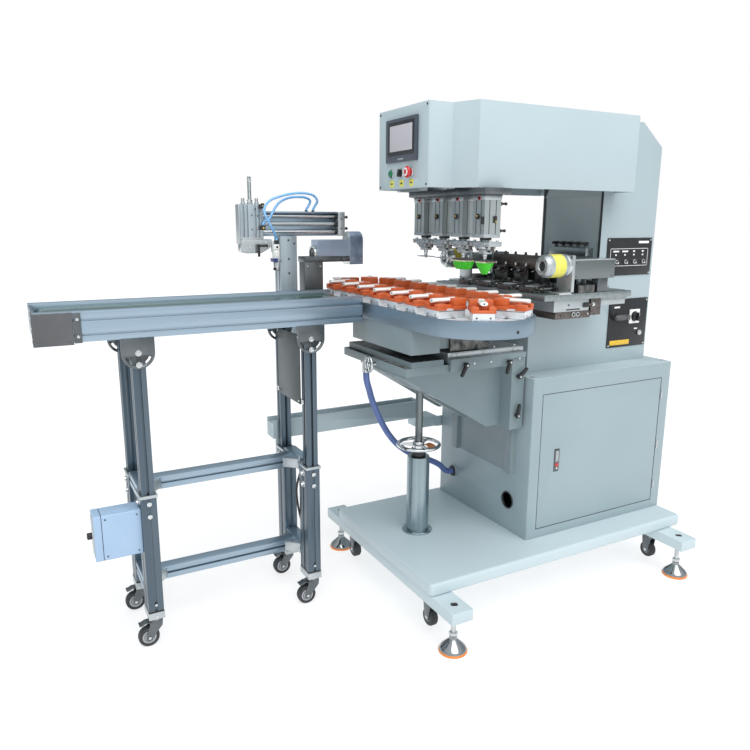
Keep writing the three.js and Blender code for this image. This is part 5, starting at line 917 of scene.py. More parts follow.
# %% [markdown]
# The cross-feed wheel is small enough for two fingers: a torus for the rim, two round bars for its four
# spokes, and a turned hub whose stem goes into the knee.

# %% Cross-feed wheel
FEED_Y, FEED_Z = 345, 890
feed = [ring("x", 26, 4.4, -50.3, FEED_Y, FEED_Z, chrome, 48, 14),
    turned("x", [(0, -60.5), (6, -60), (9, -57), (9, -44), (6.4, -42), (6, -16.4), (0, -16.4)], 0, FEED_Y,
        FEED_Z, chrome)]
feed += [bar("y", 3.4, 319, 371, -50.3, FEED_Z, chrome, 0, 16),
    bar("z", 3.4, 864, 916, -50.3, FEED_Y, chrome, 0, 16)]
gather("feed_wheel", feed, "cross_wheel", ["cross_handwheel"])

# %% [markdown]
# The track is an oval plate with a raised rim. Each ring of it starts as two circles that are bridged; the
# two halves are pulled apart along Y, which makes the straights, and the face is raised to its height.

# %% Oval track
TRACK_X, NEAR_END, FAR_END = 158, 20, 740
PITCH = 120


def oval(outer, inner, z0, z1, material, edge=0.6):
    bpy.ops.mesh.primitive_circle_add(vertices=128, radius=outer * MM, fill_type="NOTHING"
        if inner else "NGON", location=at(TRACK_X, 380, z0))
    piece = bpy.context.active_object
    bpy.ops.object.mode_set(mode="EDIT")
    if inner:
        bpy.ops.mesh.primitive_circle_add(vertices=128, radius=inner * MM, location=at(TRACK_X, 380, z0))
        bpy.ops.mesh.select_all(action="SELECT")
        bpy.ops.mesh.bridge_edge_loops()
    bpy.ops.mesh.select_all(action="SELECT")
    bpy.ops.transform.rotate(value=math.radians(360 / 256), orient_axis="Z",
        center_override=at(TRACK_X, 380, z0))
    for way in (1, -1):
        bpy.ops.mesh.select_all(action="DESELECT")
        bpy.ops.object.mode_set(mode="OBJECT")
        for point in piece.data.vertices:
            point.select = way * (piece.matrix_world @ point.co - at(0, 380, 0)).y > 0
        bpy.ops.object.mode_set(mode="EDIT")
        bpy.ops.transform.translate(value=(0, way * (FAR_END - NEAR_END) / 2 * MM, 0))
    bpy.ops.mesh.select_all(action="SELECT")
    bpy.ops.mesh.extrude_region_move(TRANSFORM_OT_translate={"value": (0, 0, (z1 - z0) * MM)})
    bpy.ops.mesh.select_all(action="SELECT")
    bpy.ops.mesh.normals_make_consistent(inside=False)
    bpy.ops.object.mode_set(mode="OBJECT")
    return settle(piece, material, edge)


track = [oval(180, 172, 1037, 1091, rim_anodised, 1.2), oval(171.8, 120.6, 1073, 1087, deck_metal, 0.8),
    oval(108.6, 0, 1073, 1087, deck_metal, 0.8), oval(171.8, 0, 1037.2, 1052, black, 0.3)]
drain = bar("y", 5.4, -160.2, -152, TRACK_X, 1056, black, 0.2, 24)
track.append(again(drain, spin=5.2, about=(TRACK_X, NEAR_END, 0)))
bpy.data.objects.remove(drain)
track += [bar("z", 3.4, 1086.6, 1087.8, TRACK_X + a, 380 + b, zinc, 0.3, 16) for a in (-60, 60)
    for b in (-320, -160, 0, 160, 320)]
gather("track_rim_and_deck", track, "table", ["oval_track"])

# %% [markdown]
# A carrier is a small clamp: a bright base block that slides on the deck, two orange jaws with a waist
# between them, and the lighter lying on top. One is modelled in full at the first printing place; the
# other seventeen are copies, turned round the ends of the track and moved one pitch at a time.

# %% One carrier
def jaw(x0, x1, y0, y1, z0, z1, edge=1.6):
    return box(x0, x1, y0, y1, z0, z1, orange, edge, 3)


def carrier():
    x, y = TRACK_X, NEAR_END
    parts = [box(x + 67, x + 168, y - 32, y + 32, 1087.7, 1116, white_metal, 1.4, 3),
        box(x + 70, x + 165, y - 32.3, y + 32.3, 1108.4, 1110, black, 0.1),
        bar("z", 4, 1062, 1088.5, x + 114.6, y, dark, 0.4, 20)]
    for s in (-1, 1):
        parts += [box(x + 147, x + 166.5, y + s * 27 - 7, y + s * 27 + 7, 1114, 1117.6, black, 1.0),
            box(x + 72, x + 88, y + s * 27 - 7, y + s * 27 + 7, 1114, 1117.6, black, 1.0),
            box(x + 152, x + 168.6, y + s * 23 - 6, y + s * 23 + 6, 1087.6, 1091.4, black, 0.6),
            bar("x", 2.8, x + 166.8, x + 168.4, y + s * 20, 1099, black, 0.3, 14),
            jaw(x + 137, x + 169.4, y + s * 25 - 11, y + s * 25 + 11, 1120, 1131, 2.6),
            bar("z", 3, 1130.2, 1132, x + 153, y + s * 26, zinc, 0.5, 6),
            bar("z", 3.4, 1145, 1146.8, x + 75, y + s * 24, zinc, 0.5, 6)]
    parts += [jaw(x + 64, x + 111, y - 36, y + 36, 1112, 1124.4),
        jaw(x + 66, x + 109, y - 34.6, y + 34.6, 1125, 1145.6, 2),
        jaw(x + 106, x + 140, y - 22, y + 22, 1112.4, 1127, 2.4),
        jaw(x + 136, x + 169.4, y - 36, y + 36, 1112, 1121.4, 2.4)]
    body = turned("x", [(0, 84.6), (9.6, 84.6), (12, 86.4), (12.5, 90), (12.5, 160), (12, 166), (10.6, 168.6),
            (0, 168.6)], x, y, 1140, white, 0, 32)
    reshape(body, Matrix.Scale(0.52, 4, (0, 0, 1)), at(0, 0, 1140))
    return parts + [body, bar("x", 2.6, x + 167.6, x + 168.9, y, 1140, black, 0.2, 16),
        box(x + 88, x + 104, y - 9, y + 9, 1139, 1147.2, white, 2, 3)]


white_metal = finish("bright_base", ((0.78, 0.80, 0.83), (0.86, 0.88, 0.90)), (0.22, 0.4), 0.55,
    grain=(200, 0.05), patch=30)
master = joined(carrier())
print("one carrier has", len(master.data.polygons), "faces")

# %% Eighteen carriers on the chain
def chain_link(x0, x1, y0, y1):
    return box(x0, x1, y0, y1, 1055, 1070, dark, 1.0)


straight = [again(master, (0, PITCH * i, 0)) for i in range(6)]
gather("carriers_printing", straight + [chain_link(257, 288, 14, 626)], "print_run", ["carriers_print_run"])
straight = [again(master, (0, PITCH * (i + 1), 0), 180, (TRACK_X, NEAR_END, 0)) for i in range(6)]
gather("carriers_loading", straight + [chain_link(28, 59, 134, 746)], "front_run", ["carriers_front_run"])
ends = [again(master, spin=180 + 60 * i, about=(TRACK_X, NEAR_END, 0)) for i in range(3)]
gather("carriers_near_end", ends, "near_turn", ["carriers_near_turn"])
ends = [again(again(master, (0, FAR_END - NEAR_END, 0)), spin=60 * i, about=(TRACK_X, FAR_END, 0))
    for i in range(3)]
gather("carriers_far_end", ends, "far_turn", ["carriers_far_turn"])

# %% [markdown]
# The four print cylinders are square extrusions with sensor slots. One outline with T-shaped notches serves
# every extruded profile on the machine, so a notch is drawn once: a narrow mouth and a wider room behind it.
# The outline is traced counter-clockwise and pushed along its axis, which keeps each slot a real hollow
# that shades itself, where a painted line would stay flat.

# %% Outline of a slotted extrusion
def slotted(u0, u1, v0, v1, shares, mouth, room, lip, deep):
    def notch(start, along, inward):
        steps = [(-mouth, 0), (-mouth, lip), (-room, lip), (-room, deep), (room, deep), (room, lip),
            (mouth, lip), (mouth, 0)]
        return [(start[0] + along[0] * s + inward[0] * d, start[1] + along[1] * s + inward[1] * d)
            for s, d in steps]

    points = []
    corners = [((u0, v0), (u1, v0)), ((u1, v0), (u1, v1)), ((u1, v1), (u0, v1)), ((u0, v1), (u0, v0))]
    for side, ((ua, va), (ub, vb)) in enumerate(corners):
        points.append((ua, va))
        length = math.hypot(ub - ua, vb - va)
        along = ((ub - ua) / length, (vb - va) / length)
        for share in shares[side]:
            points += notch((ua + (ub - ua) * share, va + (vb - va) * share), along, (-along[1], along[0]))
    return points


# %% [markdown]
# The pad carriage is a ground plate that slides under the hood on two shafts; its dark colour is painted
# shade under the hood. Below it hang the four cylinders, each with a wider head, a nose ring and a row of
# small fittings: a clamp screw in a red collar, a round sensor with its lamp, and the flow elbows on the
# side away from the panel.

# %% Carriage plate, bearings and cylinders
PAD_X = 272.6
PAD_YS = (140, 260, 380, 500)
# The two carriage plates are drawn in the dark metal, which is painted shade under the hood.
carriage = [box(225, 330, 90, 550, 1455, 1475, dark, 1.2), box(238, 307, 104, 536, 1449, 1455.2, dark, 0.8)]
for y in (295, 465):
    housing = box(233, 323, y - 26, y + 26, 1474.7, 1530, silver, 2.5, 3)
    carriage += [housing] + [bar("x", 17, face, face + 3, y, 1508, black, 0.6) for face in (231, 322)]
for y in PAD_YS:
    body_outline = slotted(PAD_X - 32, PAD_X + 32, y - 32, y + 32, [(0.3, 0.7)] * 4, 1.8, 3.4, 2.0, 5.5)
    carriage += [plate("z", body_outline, 1331, 1437, cylinder_metal, 0),
        box(PAD_X - 34, PAD_X + 34, y - 34, y + 34, 1437, 1450, silver, 1.4),
        box(PAD_X - 33, PAD_X + 33, y - 33, y + 33, 1319, 1331, silver, 1.4),
        bar("z", 19, 1311, 1319.5, PAD_X, y, black, 1.2), ring("x", 5.6, 1.3, PAD_X - 34.6, y - 4, 1443.5,
            red_cap, 24, 8), bar("x", 3.4, PAD_X - 41, PAD_X - 33.5, y - 4, 1443.5, black, 0.6, 16),
        bar("x", 2.2, PAD_X - 45, PAD_X - 40, y - 4, 1443.5, zinc, 0.5, 12),
        bar("x", 9, PAD_X - 38, PAD_X - 31.5, y + 2, 1386, black, 1.6, 24),
        bar("x", 2.8, PAD_X - 39, PAD_X - 37.6, y + 2, 1388, amber, 0.4, 14)]
    for z, reach in ((1427, 16), (1341, 14)):
        carriage += [bar("x", 5.2, PAD_X + 33, PAD_X + 42, y - 14, z, black, 0.8, 18),
            box(PAD_X + 39, PAD_X + 48, y - 19, y - 9, z - 6, z + 6, black, 1.4),
            bar("x", 3.6, PAD_X + 47, PAD_X + 47 + reach, y - 14, z, black, 0.8, 16),
            bar("x", 5.0, PAD_X + 47 + reach, PAD_X + 53 + reach, y - 14, z, black, 1.0, 18)]
    carriage += [bar("x", 3.0, PAD_X - 35.2, PAD_X - 33.8, screw_y, 1325, zinc, 0.5, 14)
        for screw_y in (y - 25, y + 25)]
near_y = PAD_YS[0] - 32
carriage += [box(PAD_X + 4, PAD_X + 14, near_y - 6, near_y + 1, 1366, 1388, black, 1.2),
    box(PAD_X + 7, PAD_X + 12, near_y - 7, near_y - 5.6, 1368, 1373, amber, 0.3),
    box(PAD_X - 40, PAD_X - 31, near_y + 2, near_y + 9, 1362, 1386, black, 1.0)]
carriage += [bar("z", 4.6, 1453.4, 1455.4, x, y, dark, 0.6, 6) for x in (232, 322)
    for y in (104, 200, 320, 440, 536)]
gather("pad_carriage_dressed", carriage, "pad_carriage", ("pad_carriage",))

# %% [markdown]
# Each ram carries a cross plate, a clamp block with its knurled screws, a slim stem and the thin holder. The
# first two hold silicone pads of different cuts: a long boat for the side of a barrel and a wedge for its
# end. The pads start as cubes cut into a fine grid, whose points are drawn in towards the printing face; a
# subdivided surface then rounds them, as moulded silicone is round.

# %% The two silicone pads
def silicone_pad(y, half_long, half_wide, foot_long, foot_wide, top, bottom, soft):
    bpy.ops.mesh.primitive_cube_add(size=2, location=at(PAD_X, y, (top + bottom) / 2))
    pad = bpy.context.active_object
    pad.scale = (half_wide * MM, half_long * MM, (top - bottom) / 2 * MM)
    only(pad)
    bpy.ops.object.transform_apply(location=False, rotation=False, scale=True)
    bpy.ops.object.mode_set(mode="EDIT")
    bpy.ops.mesh.select_all(action="SELECT")
    bpy.ops.mesh.subdivide(number_cuts=7)
    bpy.ops.object.mode_set(mode="OBJECT")
    for v in pad.data.vertices:
        down = 0.5 - v.co.z / ((top - bottom) * MM)
        draw = min(max((down - 0.12) / 0.88, 0), 1) ** 1.15
        u, w = v.co.x / (half_wide * MM), v.co.y / (half_long * MM)
        corner = 1 - soft * (u * u) * (w * w)
        v.co.x *= (1 + (foot_wide / half_wide - 1) * draw) * corner
        v.co.y *= (1 + (foot_long / half_long - 1) * draw) * corner
    smooth = pad.modifiers.new("moulded", "SUBSURF")
    smooth.levels = 1
    bpy.ops.object.modifier_apply(modifier=smooth.name)
    settle(pad, silicone)
    rim = plate("z", rounded(PAD_X - half_wide, PAD_X + half_wide, y - half_long, y + half_long, 8),
        top - 1.5, top + 2.2, pale_wood, 0.5)
    return [pad, rim]


# %% The four rams
for n, y in enumerate(PAD_YS):
    ram = [bar("z", 11.5, 1305, 1415, PAD_X, y, ground, 0.8, 36),
        box(PAD_X - 26, PAD_X + 26, y - 52, y + 52, 1291, 1306, silver, 1.6),
        box(PAD_X - 29, PAD_X + 29, y - 20, y + 20, 1284, 1292, zinc, 1.2),
        box(PAD_X - 16, PAD_X + 16, y - 16, y + 16, 1266, 1285, silver, 1.6),
        bar("z", 8, 1258, 1267, PAD_X, y, zinc, 1.0, 24), bar("z", 6, 1246, 1262, PAD_X, y, ground, 0.6, 24)]
    for side in (-1, 1):
        ram += [bar("z", 5, 1305.5, 1311, PAD_X - 14, y + side * 43, zinc, 0.8, 6),
            bar("z", 5, 1305.5, 1311, PAD_X + 14, y + side * 43, zinc, 0.8, 6),
            bar("x", 4.2, PAD_X - 33, PAD_X - 25.5, y + side * 34, 1298.5, ground, 0.8, 18),
            bar("y", 3.2, y + side * 16, y + side * 24, PAD_X, 1275, black, 0.6, 14),
            bar("z", 6.5, 1276, 1291.4, PAD_X, y + side * 38, browned, 0.8, 20)]
    if n < 2:
        long_pad = n == 1
        top, bottom = (1239, 1210) if long_pad else (1240, 1200)
        ram += silicone_pad(y, *((40, 26, 33, 15) if long_pad else (27, 24, 8, 8)), top, bottom, 0.16)
        ram.append(box(PAD_X - 17, PAD_X + 17, y - 36, y + 36, 1241, 1246, browned, 0.8))
    else:
        ram += [box(PAD_X - 17, PAD_X + 17, y - 36, y + 36, 1241.5, 1245, ground, 0.6),
            bar("z", 3.2, 1237, 1242, PAD_X, y, zinc, 0.5, 12)]
    gather("pad_ram_%d_dressed" % (n + 1), ram, "pad_ram_%d" % (n + 1), ("pad_ram_%d" % (n + 1),))

# %% [markdown]
# The ink bench is a long ground plate on a cross block, dark with ink where the doctor blades run. Its
# detail is what a service engineer sees: four thick steel plates with their wells, clamp bars, guide rods
# in small blocks, and a scatter of adjusting screws. Ink shows as a darker, rougher finish, not as paint.

# %% Ink bench
bench = [box(440, 845, 30, 680, 1112, 1133, milled, 1.4), box(500, 660, 48, 662, 1070, 1112.5, silver, 1.6),
    box(508, 668, 48, 662, 1045, 1070.5, browned, 1.2), box(660, 869, 217, 543, 1046, 1112.5, enamel, 2.0)]
for y in PAD_YS:
    well = [(455, y - 39), (635, y - 39), (635, y + 39), (455, y + 39)]
    bench += [plate("z", well, 1132.5, 1141, ink_and_shade, 1.0), box(462, 540, y - 32, y + 32, 1140.5, 1142.4,
            ground, 0.5), box(548, 628, y - 33, y + 33, 1140.5, 1143, ink_and_shade, 0.7),
        box(553, 623, y - 27, y + 27, 1142.6, 1143.6, ink_black, 0.4),
        box(446, 458, y - 30, y + 30, 1133, 1149, browned, 1.0),
        bar("y", 2.6, y - 36, y + 36, 470, 1150, ground, 0.5, 18)]
    for s in (-1, 1):
        bench += [bar("z", 4.4, 1141, 1147, 452, y + s * 22, dark, 0.6, 6),
            box(464, 476, y + s * 33 - 4, y + s * 33 + 4, 1141, 1155, ink_and_shade, 0.8),
            bar("x", 3.4, 478, 618, y + s * 42, 1146, ground, 0.5, 18),
            box(604, 616, y + s * 42 - 6, y + s * 42 + 6, 1133, 1153, ink_and_shade, 0.9),
            box(484, 494, y + s * 42 - 5, y + s * 42 + 5, 1133, 1151, browned, 0.9)]
# Side guides for the doctor carriage, with their end stops and small chrome pins
for y in (88, 558):
    bench += [box(545, 770, y, y + 14, 1133, 1141, ground, 0.8),
        box(534, 546, y - 3, y + 17, 1133, 1151, ink_and_shade, 0.8),
        box(770, 782, y - 3, y + 17, 1133, 1151, ink_and_shade, 0.8),
        bar("x", 4.5, 782, 800, y + 7, 1143, chrome, 1.2, 20)]
# Near end of the cross block: a small screw, a black slot, two ring holes in the brown rail and a knob
bench += [bar("y", 3.4, 45.8, 48.2, 566, 1092, dark, 0.5, 14),
    box(556, 618, 46.6, 48.4, 1074.5, 1078.5, black, 0.4), ring("y", 6.6, 1.8, 47.2, 590, 1059, zinc, 28, 8),
    ring("y", 6.6, 1.8, 47.2, 610, 1059, zinc, 28, 8), bar("y", 4.0, 46.4, 48.2, 590, 1059, black, 0.3, 18),
    bar("y", 4.0, 46.4, 48.2, 610, 1059, black, 0.3, 18), bar("y", 3.6, 44.4, 48.2, 534, 1057, dark, 0.5, 6),
    bar("y", 3.6, 44.4, 48.2, 655, 1059, zinc, 0.6, 16), box(634, 662, 44, 58, 1081, 1098, black, 1.2),
    bar("x", 4.5, 660, 676, 52, 1090, zinc, 0.8, 20), bar("x", 9.5, 674, 686, 52, 1090, chrome, 2.0, 26),
    box(668, 716, 46, 56, 1052, 1118, browned, 1.4), box(690, 850, 60, 150, 1082, 1112.4, silver, 2.0),
    box(700, 844, 47, 58, 1100, 1128, milled, 1.2)]
bench += [bar("z", 5.2, 1132, 1134.6, x, y, dark, 0.7, 6) for x, y in ((470, 46), (560, 46), (700, 46),
        (824, 46), (470, 664), (640, 664), (824, 664), (824, 380))]
# Ink pots, tension screws and wiper clamps that crowd the middle of the bench
for n in range(16):
    x, y = 716 + 24 * (n % 5), 130 + 27 * n
    tall = (18, 30, 12, 24)[n % 4]
    bench.append(bar("z", 5.5 + n % 3, 1132.5, 1133 + tall, x, y, (ink_and_shade, browned, zinc)[n % 3], 1.0, 20))
    bench.append(bar("z", 3, 1133 + tall, 1138 + tall, x, y, black, 0.6, 6))
gather("ink_bench_dressed", bench, "machine", ("ink_bench",))

# %% [markdown]
# The doctor carriage is one heavy browned bar across all four plates. Eight dark knobs set the blades. Each
# blade has its clamp, two thumb screws and two spring pins, so the bar reads as a row of small machines.

# %% Doctor carriage
doctor = [box(636, 664, 91, 560, 1196, 1246, browned, 1.8), box(664, 672, 120, 540, 1204, 1238, dark, 1.0),
    box(653, 661, 113, 547, 1150.5, 1197, ink_and_shade, 0.8)]
for i in range(8):
    y = 140 + 60 * i
    doctor += [bar("z", 6.2, 1245.5, 1250, 650, y, dark, 0.8, 24),
        bar("z", 4.6, 1249.5, 1257, 650, y, black, 1.0, 20)]
for y0, y1 in ((81.6, 91.4), (560, 572)):
    doctor += [box(636, 664, y0, y1, 1133.5, 1246, milled, 1.2),
        box(618, 700, y0, y1, 1133.5, 1147.3, ground, 1.0), bar("y", 4.4, y0 - 0.8, y1 + 3, 650, 1222, black,
            0.8, 18)]
for y in PAD_YS:
    doctor += [box(630, 636.4, y - 38, y + 38, 1144.4, 1190, ink_and_shade, 0.8),
        box(622, 637, y - 34, y + 34, 1176, 1203, browned, 1.4),
        box(632, 633, y - 36, y + 36, 1143.8, 1160, ground, 0.2),
        box(612, 628, y - 9, y + 9, 1181, 1199, dark, 1.6)]
    for s in (-1, 1):
        doctor += [bar("x", 5.4, 606, 623, y + s * 22, 1190, black, 1.2, 22),
            bar("x", 3.0, 600, 607, y + s * 22, 1190, ground, 0.8, 16),
            bar("z", 4.2, 1203, 1216, 628, y + s * 30, chrome, 1.0, 18)]
gather("doctor_carriage_dressed", doctor, "doctor", ("doctor_carriage",))

# %% [markdown]
# The drive motors are turned in one profile: a chamfered cap, a dished dark centre, the label band and the
# flange. The band is a thin sleeve with its own yellow film, set a little proud so its edges catch light.

# %% Ink drive motors
MOTOR_Z = 1227


def drive_motor(name, y, film, cap, cover_metal):
    side = -1 if y < 340 else 1
    parts = [turned("x", [(0, 444), (15, 444), (17, 437), (29, 436.4), (35, 444), (36, 448), (38.6, 450),
                (38.6, 454), (38.6, 540), (0, 540)], 0, y, MOTOR_Z, cap, 0.5, 48),
        turned("x", [(0, 440), (13.5, 440), (14.5, 442), (15.2, 445), (0, 445)], 0, y, MOTOR_Z, black, 0.4,
            36), turned("x", [(38.2, 464), (39, 465), (39, 500), (39, 512), (38.2, 513)], 0, y, MOTOR_Z, film,
            0, 48), turned("x", [(0, 525), (38, 525), (39, 527), (39, 538), (38, 540), (0, 540)], 0, y,
            MOTOR_Z, zinc, 0.6, 48), box(540, 552, y - 36, y + 36, 1133.3, 1262, silver, 1.4),
        box(488, 552, y - 36, y + 36, 1133.3, 1141, zinc, 0.8),
        box(551.6, 742, y - 30, y + 30, 1182, 1247, cover_metal, 1.4, 3),
        box(552, 741.6, y - 30.6, y + 30.6, 1244.6, 1248, zinc, 0.7)]
    parts += [bar("y", 2.6, y - 31.2, y - 29.6, x, z, dark, 0.5, 14)
        for x, z in ((564, 1190), (730, 1190), (730, 1236), (564, 1236))]
    parts += [bar("x", 3.6, 537.6, 540.4, y + a, b, dark, 0.6, 6)
        for a, b in ((-28, 1147), (28, 1147), (-30, 1256), (30, 1256))]
    for k in range(4):
        angle = math.radians(45 + 90 * k)
        parts.append(bar("x", 2.4, 435.8, 438.4, y + 24.5 * math.cos(angle), MOTOR_Z + 24.5 * math.sin(angle),
                dark, 0.4, 12))
    parts += [box(680, 728, y + side * 2 - 14, y + side * 2 + 14, 1133.4, 1182.4, dark, 1.2),
        box(590, 666, y - 18, y + 18, 1133.4, 1160, ink_and_shade, 1.2)]
    return gather(name + "_dressed", parts, "machine", (name,))


drive_motor("ink_motor_near", 50, yellow, silver, cover_steel)
drive_motor("ink_motor_far", 622, old_label, zinc, cover_steel)

# %% [markdown]
# On the throat sits the air manifold: a bar with a row of five fittings, each an elbow with a collar.

# %% Manifold fittings on the column
throat_air = [box(835, 874, 254, 456, 1242, 1272.6, milled, 1.2)]
for i in range(5):
    y = 275 + 40 * i
    throat_air += [bar("z", 7.6, 1272, 1279, 853, y, dark, 0.8, 6),
        bar("z", 5.4, 1278.5, 1290, 853, y, black, 1.0, 20), box(842, 864, y - 5, y + 5, 1284, 1295, black,
            1.6), bar("x", 4.6, 832, 844, y, 1289.5, black, 0.8, 18)]
gather("throat_manifold", throat_air, "machine", ())

# %% [markdown]
# The conveyor bed is two aluminium rails with T-slots, a slider plate and end plates. The rails are pushed
# out of the same slotted outline as the cylinders. A dark sheet cover closes the drive end, and two tilt
# brackets with curved slots let the bed be levelled.

# %% Conveyor rails, bed and drive cover
STAND_XS = (-795, -235)
bed = []
for y0, outer in ((411, 3), (674, 1)):
    y1 = y0 + 30
    section = slotted(y0, y1, 1027, 1116, [(), (0.24, 0.72) if outer == 1 else (), (), (0.28, 0.76)
            if outer == 3 else ()], 3.6, 6.0, 2.2, 8)
    bed.append(plate("x", section, -1070, -41, anodised_x, 0.5))
    face = y0 - 0.5 if outer == 3 else y1 + 0.5
    bed += [box(-950 if outer == 3 else -1066, -45, face - 0.6, face + 0.6, z - 1.2, z + 1.2, anodised_x, 0.4)
        for z in (1112.2, 1068.5, 1031)]
bed += [box(-952, -70.5, 440.7, 674.3, 1099, 1103, silver, 0.6),
    box(-1070, -1062, 440.7, 674.3, 1036, 1064, silver, 1.0),
    box(-50, -42, 440.7, 674.3, 1036, 1064, silver, 1.0)]
bed += [box(x - 20, x + 20, 440.7, 674.3, 1027, 1039, anodised_x, 1.2) for x in STAND_XS]
bed += [box(-1074, -968, 404.5, 411.3, 1021.5, 1114.5, grey, 1.6, 3),
    box(-1073, -1069.6, 404.8, 480, 1022, 1113, grey, 1.2), box(-966, -946, 406, 411.3, 1025, 1113, dark,
        1.0), box(-1069.5, -1062, 478, 700, 1030, 1114, anodised_z, 1.0)]
bed += [bar("y", 5.0, 403.2, 406.4, -956, z, zinc, 0.8, 6) for z in (1044, 1094)]
bed += [bar("y", 2.8, 403.4, 405, x, z, dark, 0.5, 14) for x, z in ((-1064, 1106), (-1064, 1030),
        (-978, 1106), (-978, 1030))]
bed += [bar("x", 3.6, -1073.9, -1072, 440, z, zinc, 0.5, 14) for z in (1040, 1070, 1100)]
for y in (426, 689):
    bed += [box(-41.6, -38.8, y - 15, y + 15, 1027.4, 1115.6, dark, 0.8)]
    bed += [bar("x", 4.4, -39.2, -37.0, y, z, zinc, 0.7, 6) for z in (1050, 1094)]

# %% [markdown]
# A tilt bracket is a plate with a round foot. Its curved slot is a real opening: a second plate with the
# outline of the slot is taken out of the first, as a laser would cut it.

# %% Tilt brackets and slotted legs
def tilt_bracket(x, y0, y1):
    outer = [(x - 49, 1027)] + arc_points(x, 982, 49, 180, 360, 28) + [(x + 49, 1027)]
    slot_line = arc_points(x, 982, 40, 200, 340, 20) + arc_points(x, 982, 32, 340, 200, 20)
    return cut_out(plate("y", outer, y0, y1, dark, 0.8), plate("y", slot_line, y0 - 5, y1 + 5, dark, 0))


for x in STAND_XS:
    for y0, y1, out in ((407.5, 413.3, -1), (701.7, 707.2, 1)):
        bed.append(tilt_bracket(x, y0, y1))
        face = y0 if out < 0 else y1
        for u, z in ((x, 982), (x, 946)):
            a, b = (face - 5.5, face + 0.3) if out < 0 else (face - 0.3, face + 5.5)
            bed.append(bar("y", 6.4, a, b, u, z, zinc, 1.0, 6))
            bed.append(bar("y", 9.4, face - 1.2, face + 1.2, u, z, zinc, 0.4, 24))
    for y in (413, 662):
        section = slotted(x - 20, x + 20, y, y + 40, [(0.5,)] * 4, 3.8, 7.0, 2.4, 9.5)
        bed.append(plate("z", section, 300, 1027.3, leg_metal, 0.7))

# %% [markdown]
# The stand's side panel is thin dark sheet on four tabs. The clamps at the sockets are a stack that a
# hand turns: a washer, a hexagon and a short lever knob.

# %% Side panel and bed fittings
panel = [box(-262, -258, 453.4, 661.6, 747, 990, panel_sheet, 0.8),
    box(-259, -254.7, 433, 473, 750, 767, zinc, 0.8), box(-259, -254.7, 433, 473, 973, 990, zinc, 0.8),
    box(-259, -254.7, 642, 682, 750, 767, zinc, 0.8), box(-259, -254.7, 642, 682, 973, 990, zinc, 0.8)]
panel += [bar("x", 4.2, -264.6, -261.6, y, z, zinc, 0.8, 6) for y in (462, 653) for z in (758, 982)]
bed += panel
gather("conveyor_bed", bed, "conveyor", ("conveyor_frame",))

# %% [markdown]
# The belt is a closed loop of glossy green film on a drum at each end. Its path is traced as a long capsule,
# drawn out to the belt's width as a strip, and thickened inwards, as a film has one thickness all round.

# %% Belt
BELT_Z = 1081
path = arc_points(-83, BELT_Z, 26, -90, 90, 18) + arc_points(-1028, BELT_Z, 26, 90, 270, 18)
belt_film = trace([at(x, 446, z) for x, z in path + path[:1]], False)
bpy.ops.mesh.extrude_region_move(TRANSFORM_OT_translate={"value": (0, 223 * MM, 0)})
bpy.ops.mesh.select_all(action="SELECT")
bpy.ops.mesh.remove_doubles(threshold=1e-5)
bpy.ops.mesh.normals_make_consistent(inside=False)
bpy.ops.object.mode_set(mode="OBJECT")
film = belt_film.modifiers.new("film", "SOLIDIFY")
film.thickness = 1.8 * MM
film.offset = -1
only(belt_film)
bpy.ops.object.modifier_apply(modifier=film.name)
settle(belt_film, belt_green, 0.3)
belt_parts = [belt_film]
for x in (-1028, -83):
    belt_parts += [bar("y", 24.2, 448, 667, x, BELT_Z, tyre_rubber, 1.0, 48),
        bar("y", 8, 441.4, 673.6, x, BELT_Z, ground, 0.8, 24),
        bar("y", 14, 443, 448.2, x, BELT_Z, silver, 1.0, 32),
        bar("y", 14, 666.8, 672, x, BELT_Z, silver, 1.0, 32)]
gather("conveyor_belt_loop", belt_parts, "conveyor", ("conveyor_belt",))

# %% [markdown]
# The stand's legs are square sleeves: an open profile clasps each slotted upright and clamps on it. Long
# cross rails tie them, with cast corner brackets, and every cut end has its black cap.

# %% Stand sockets and cross rails
stand = []
for x in STAND_XS:
    for near in (True, False):
        y0, y1 = (409.2, 483.2) if near else (631.8, 705.8)
        bore = (412.7, 453.3) if near else (661.7, 702.3)
        section = slotted(x - 24, x + 24, y0, y1, [(0.5,)] * 4, 3.6, 6.4, 2.2, 3.4)
        stand += [cut_out(plate("z", section, 122, 523, leg_metal, 0.7),
                box(x - 20.3, x + 20.3, bore[0], bore[1], 118, 530, leg_metal, 0)),
            cut_out(box(x - 28, x + 28, y0 - 4, y1 + 4, 518, 528, silver, 1.4),
                box(x - 21, x + 21, bore[0] - 0.7, bore[1] + 0.7, 510, 534, silver, 0)),
            box(x - 26, x + 26, y0 - 2, y1 + 2, 98, 122.4, silver, 1.8),
            box(x - 24.4, x + 24.4, y0 - 0.4, y1 + 0.4, 122, 128, black, 0.6)]
        out = y0 if near else y1
        side = -1 if near else 1
        ya, yb = sorted((out + side * 0.2, out + side * 6))
        stand += [bar("y", 8.5, ya, yb, x, 500, chrome, 1.0, 6),
            bar("y", 8.5, ya, yb, x, 458, chrome, 1.0, 6)]
        for z in (500, 458):
            stand += [bar("x", 11.5, x - 25.6, x - 23.6, (y0 + y1) / 2 + side * 6, z, zinc, 0.5, 28),
                bar("x", 8, x - 33, x - 23.6, (y0 + y1) / 2 + side * 6, z, chrome, 1.0, 6)]
        stand += [bar("y", 5, min(out, out + side * 4), max(out, out + side * 4), x, z, zinc, 0.8, 6)
            for z in (150, 108)]
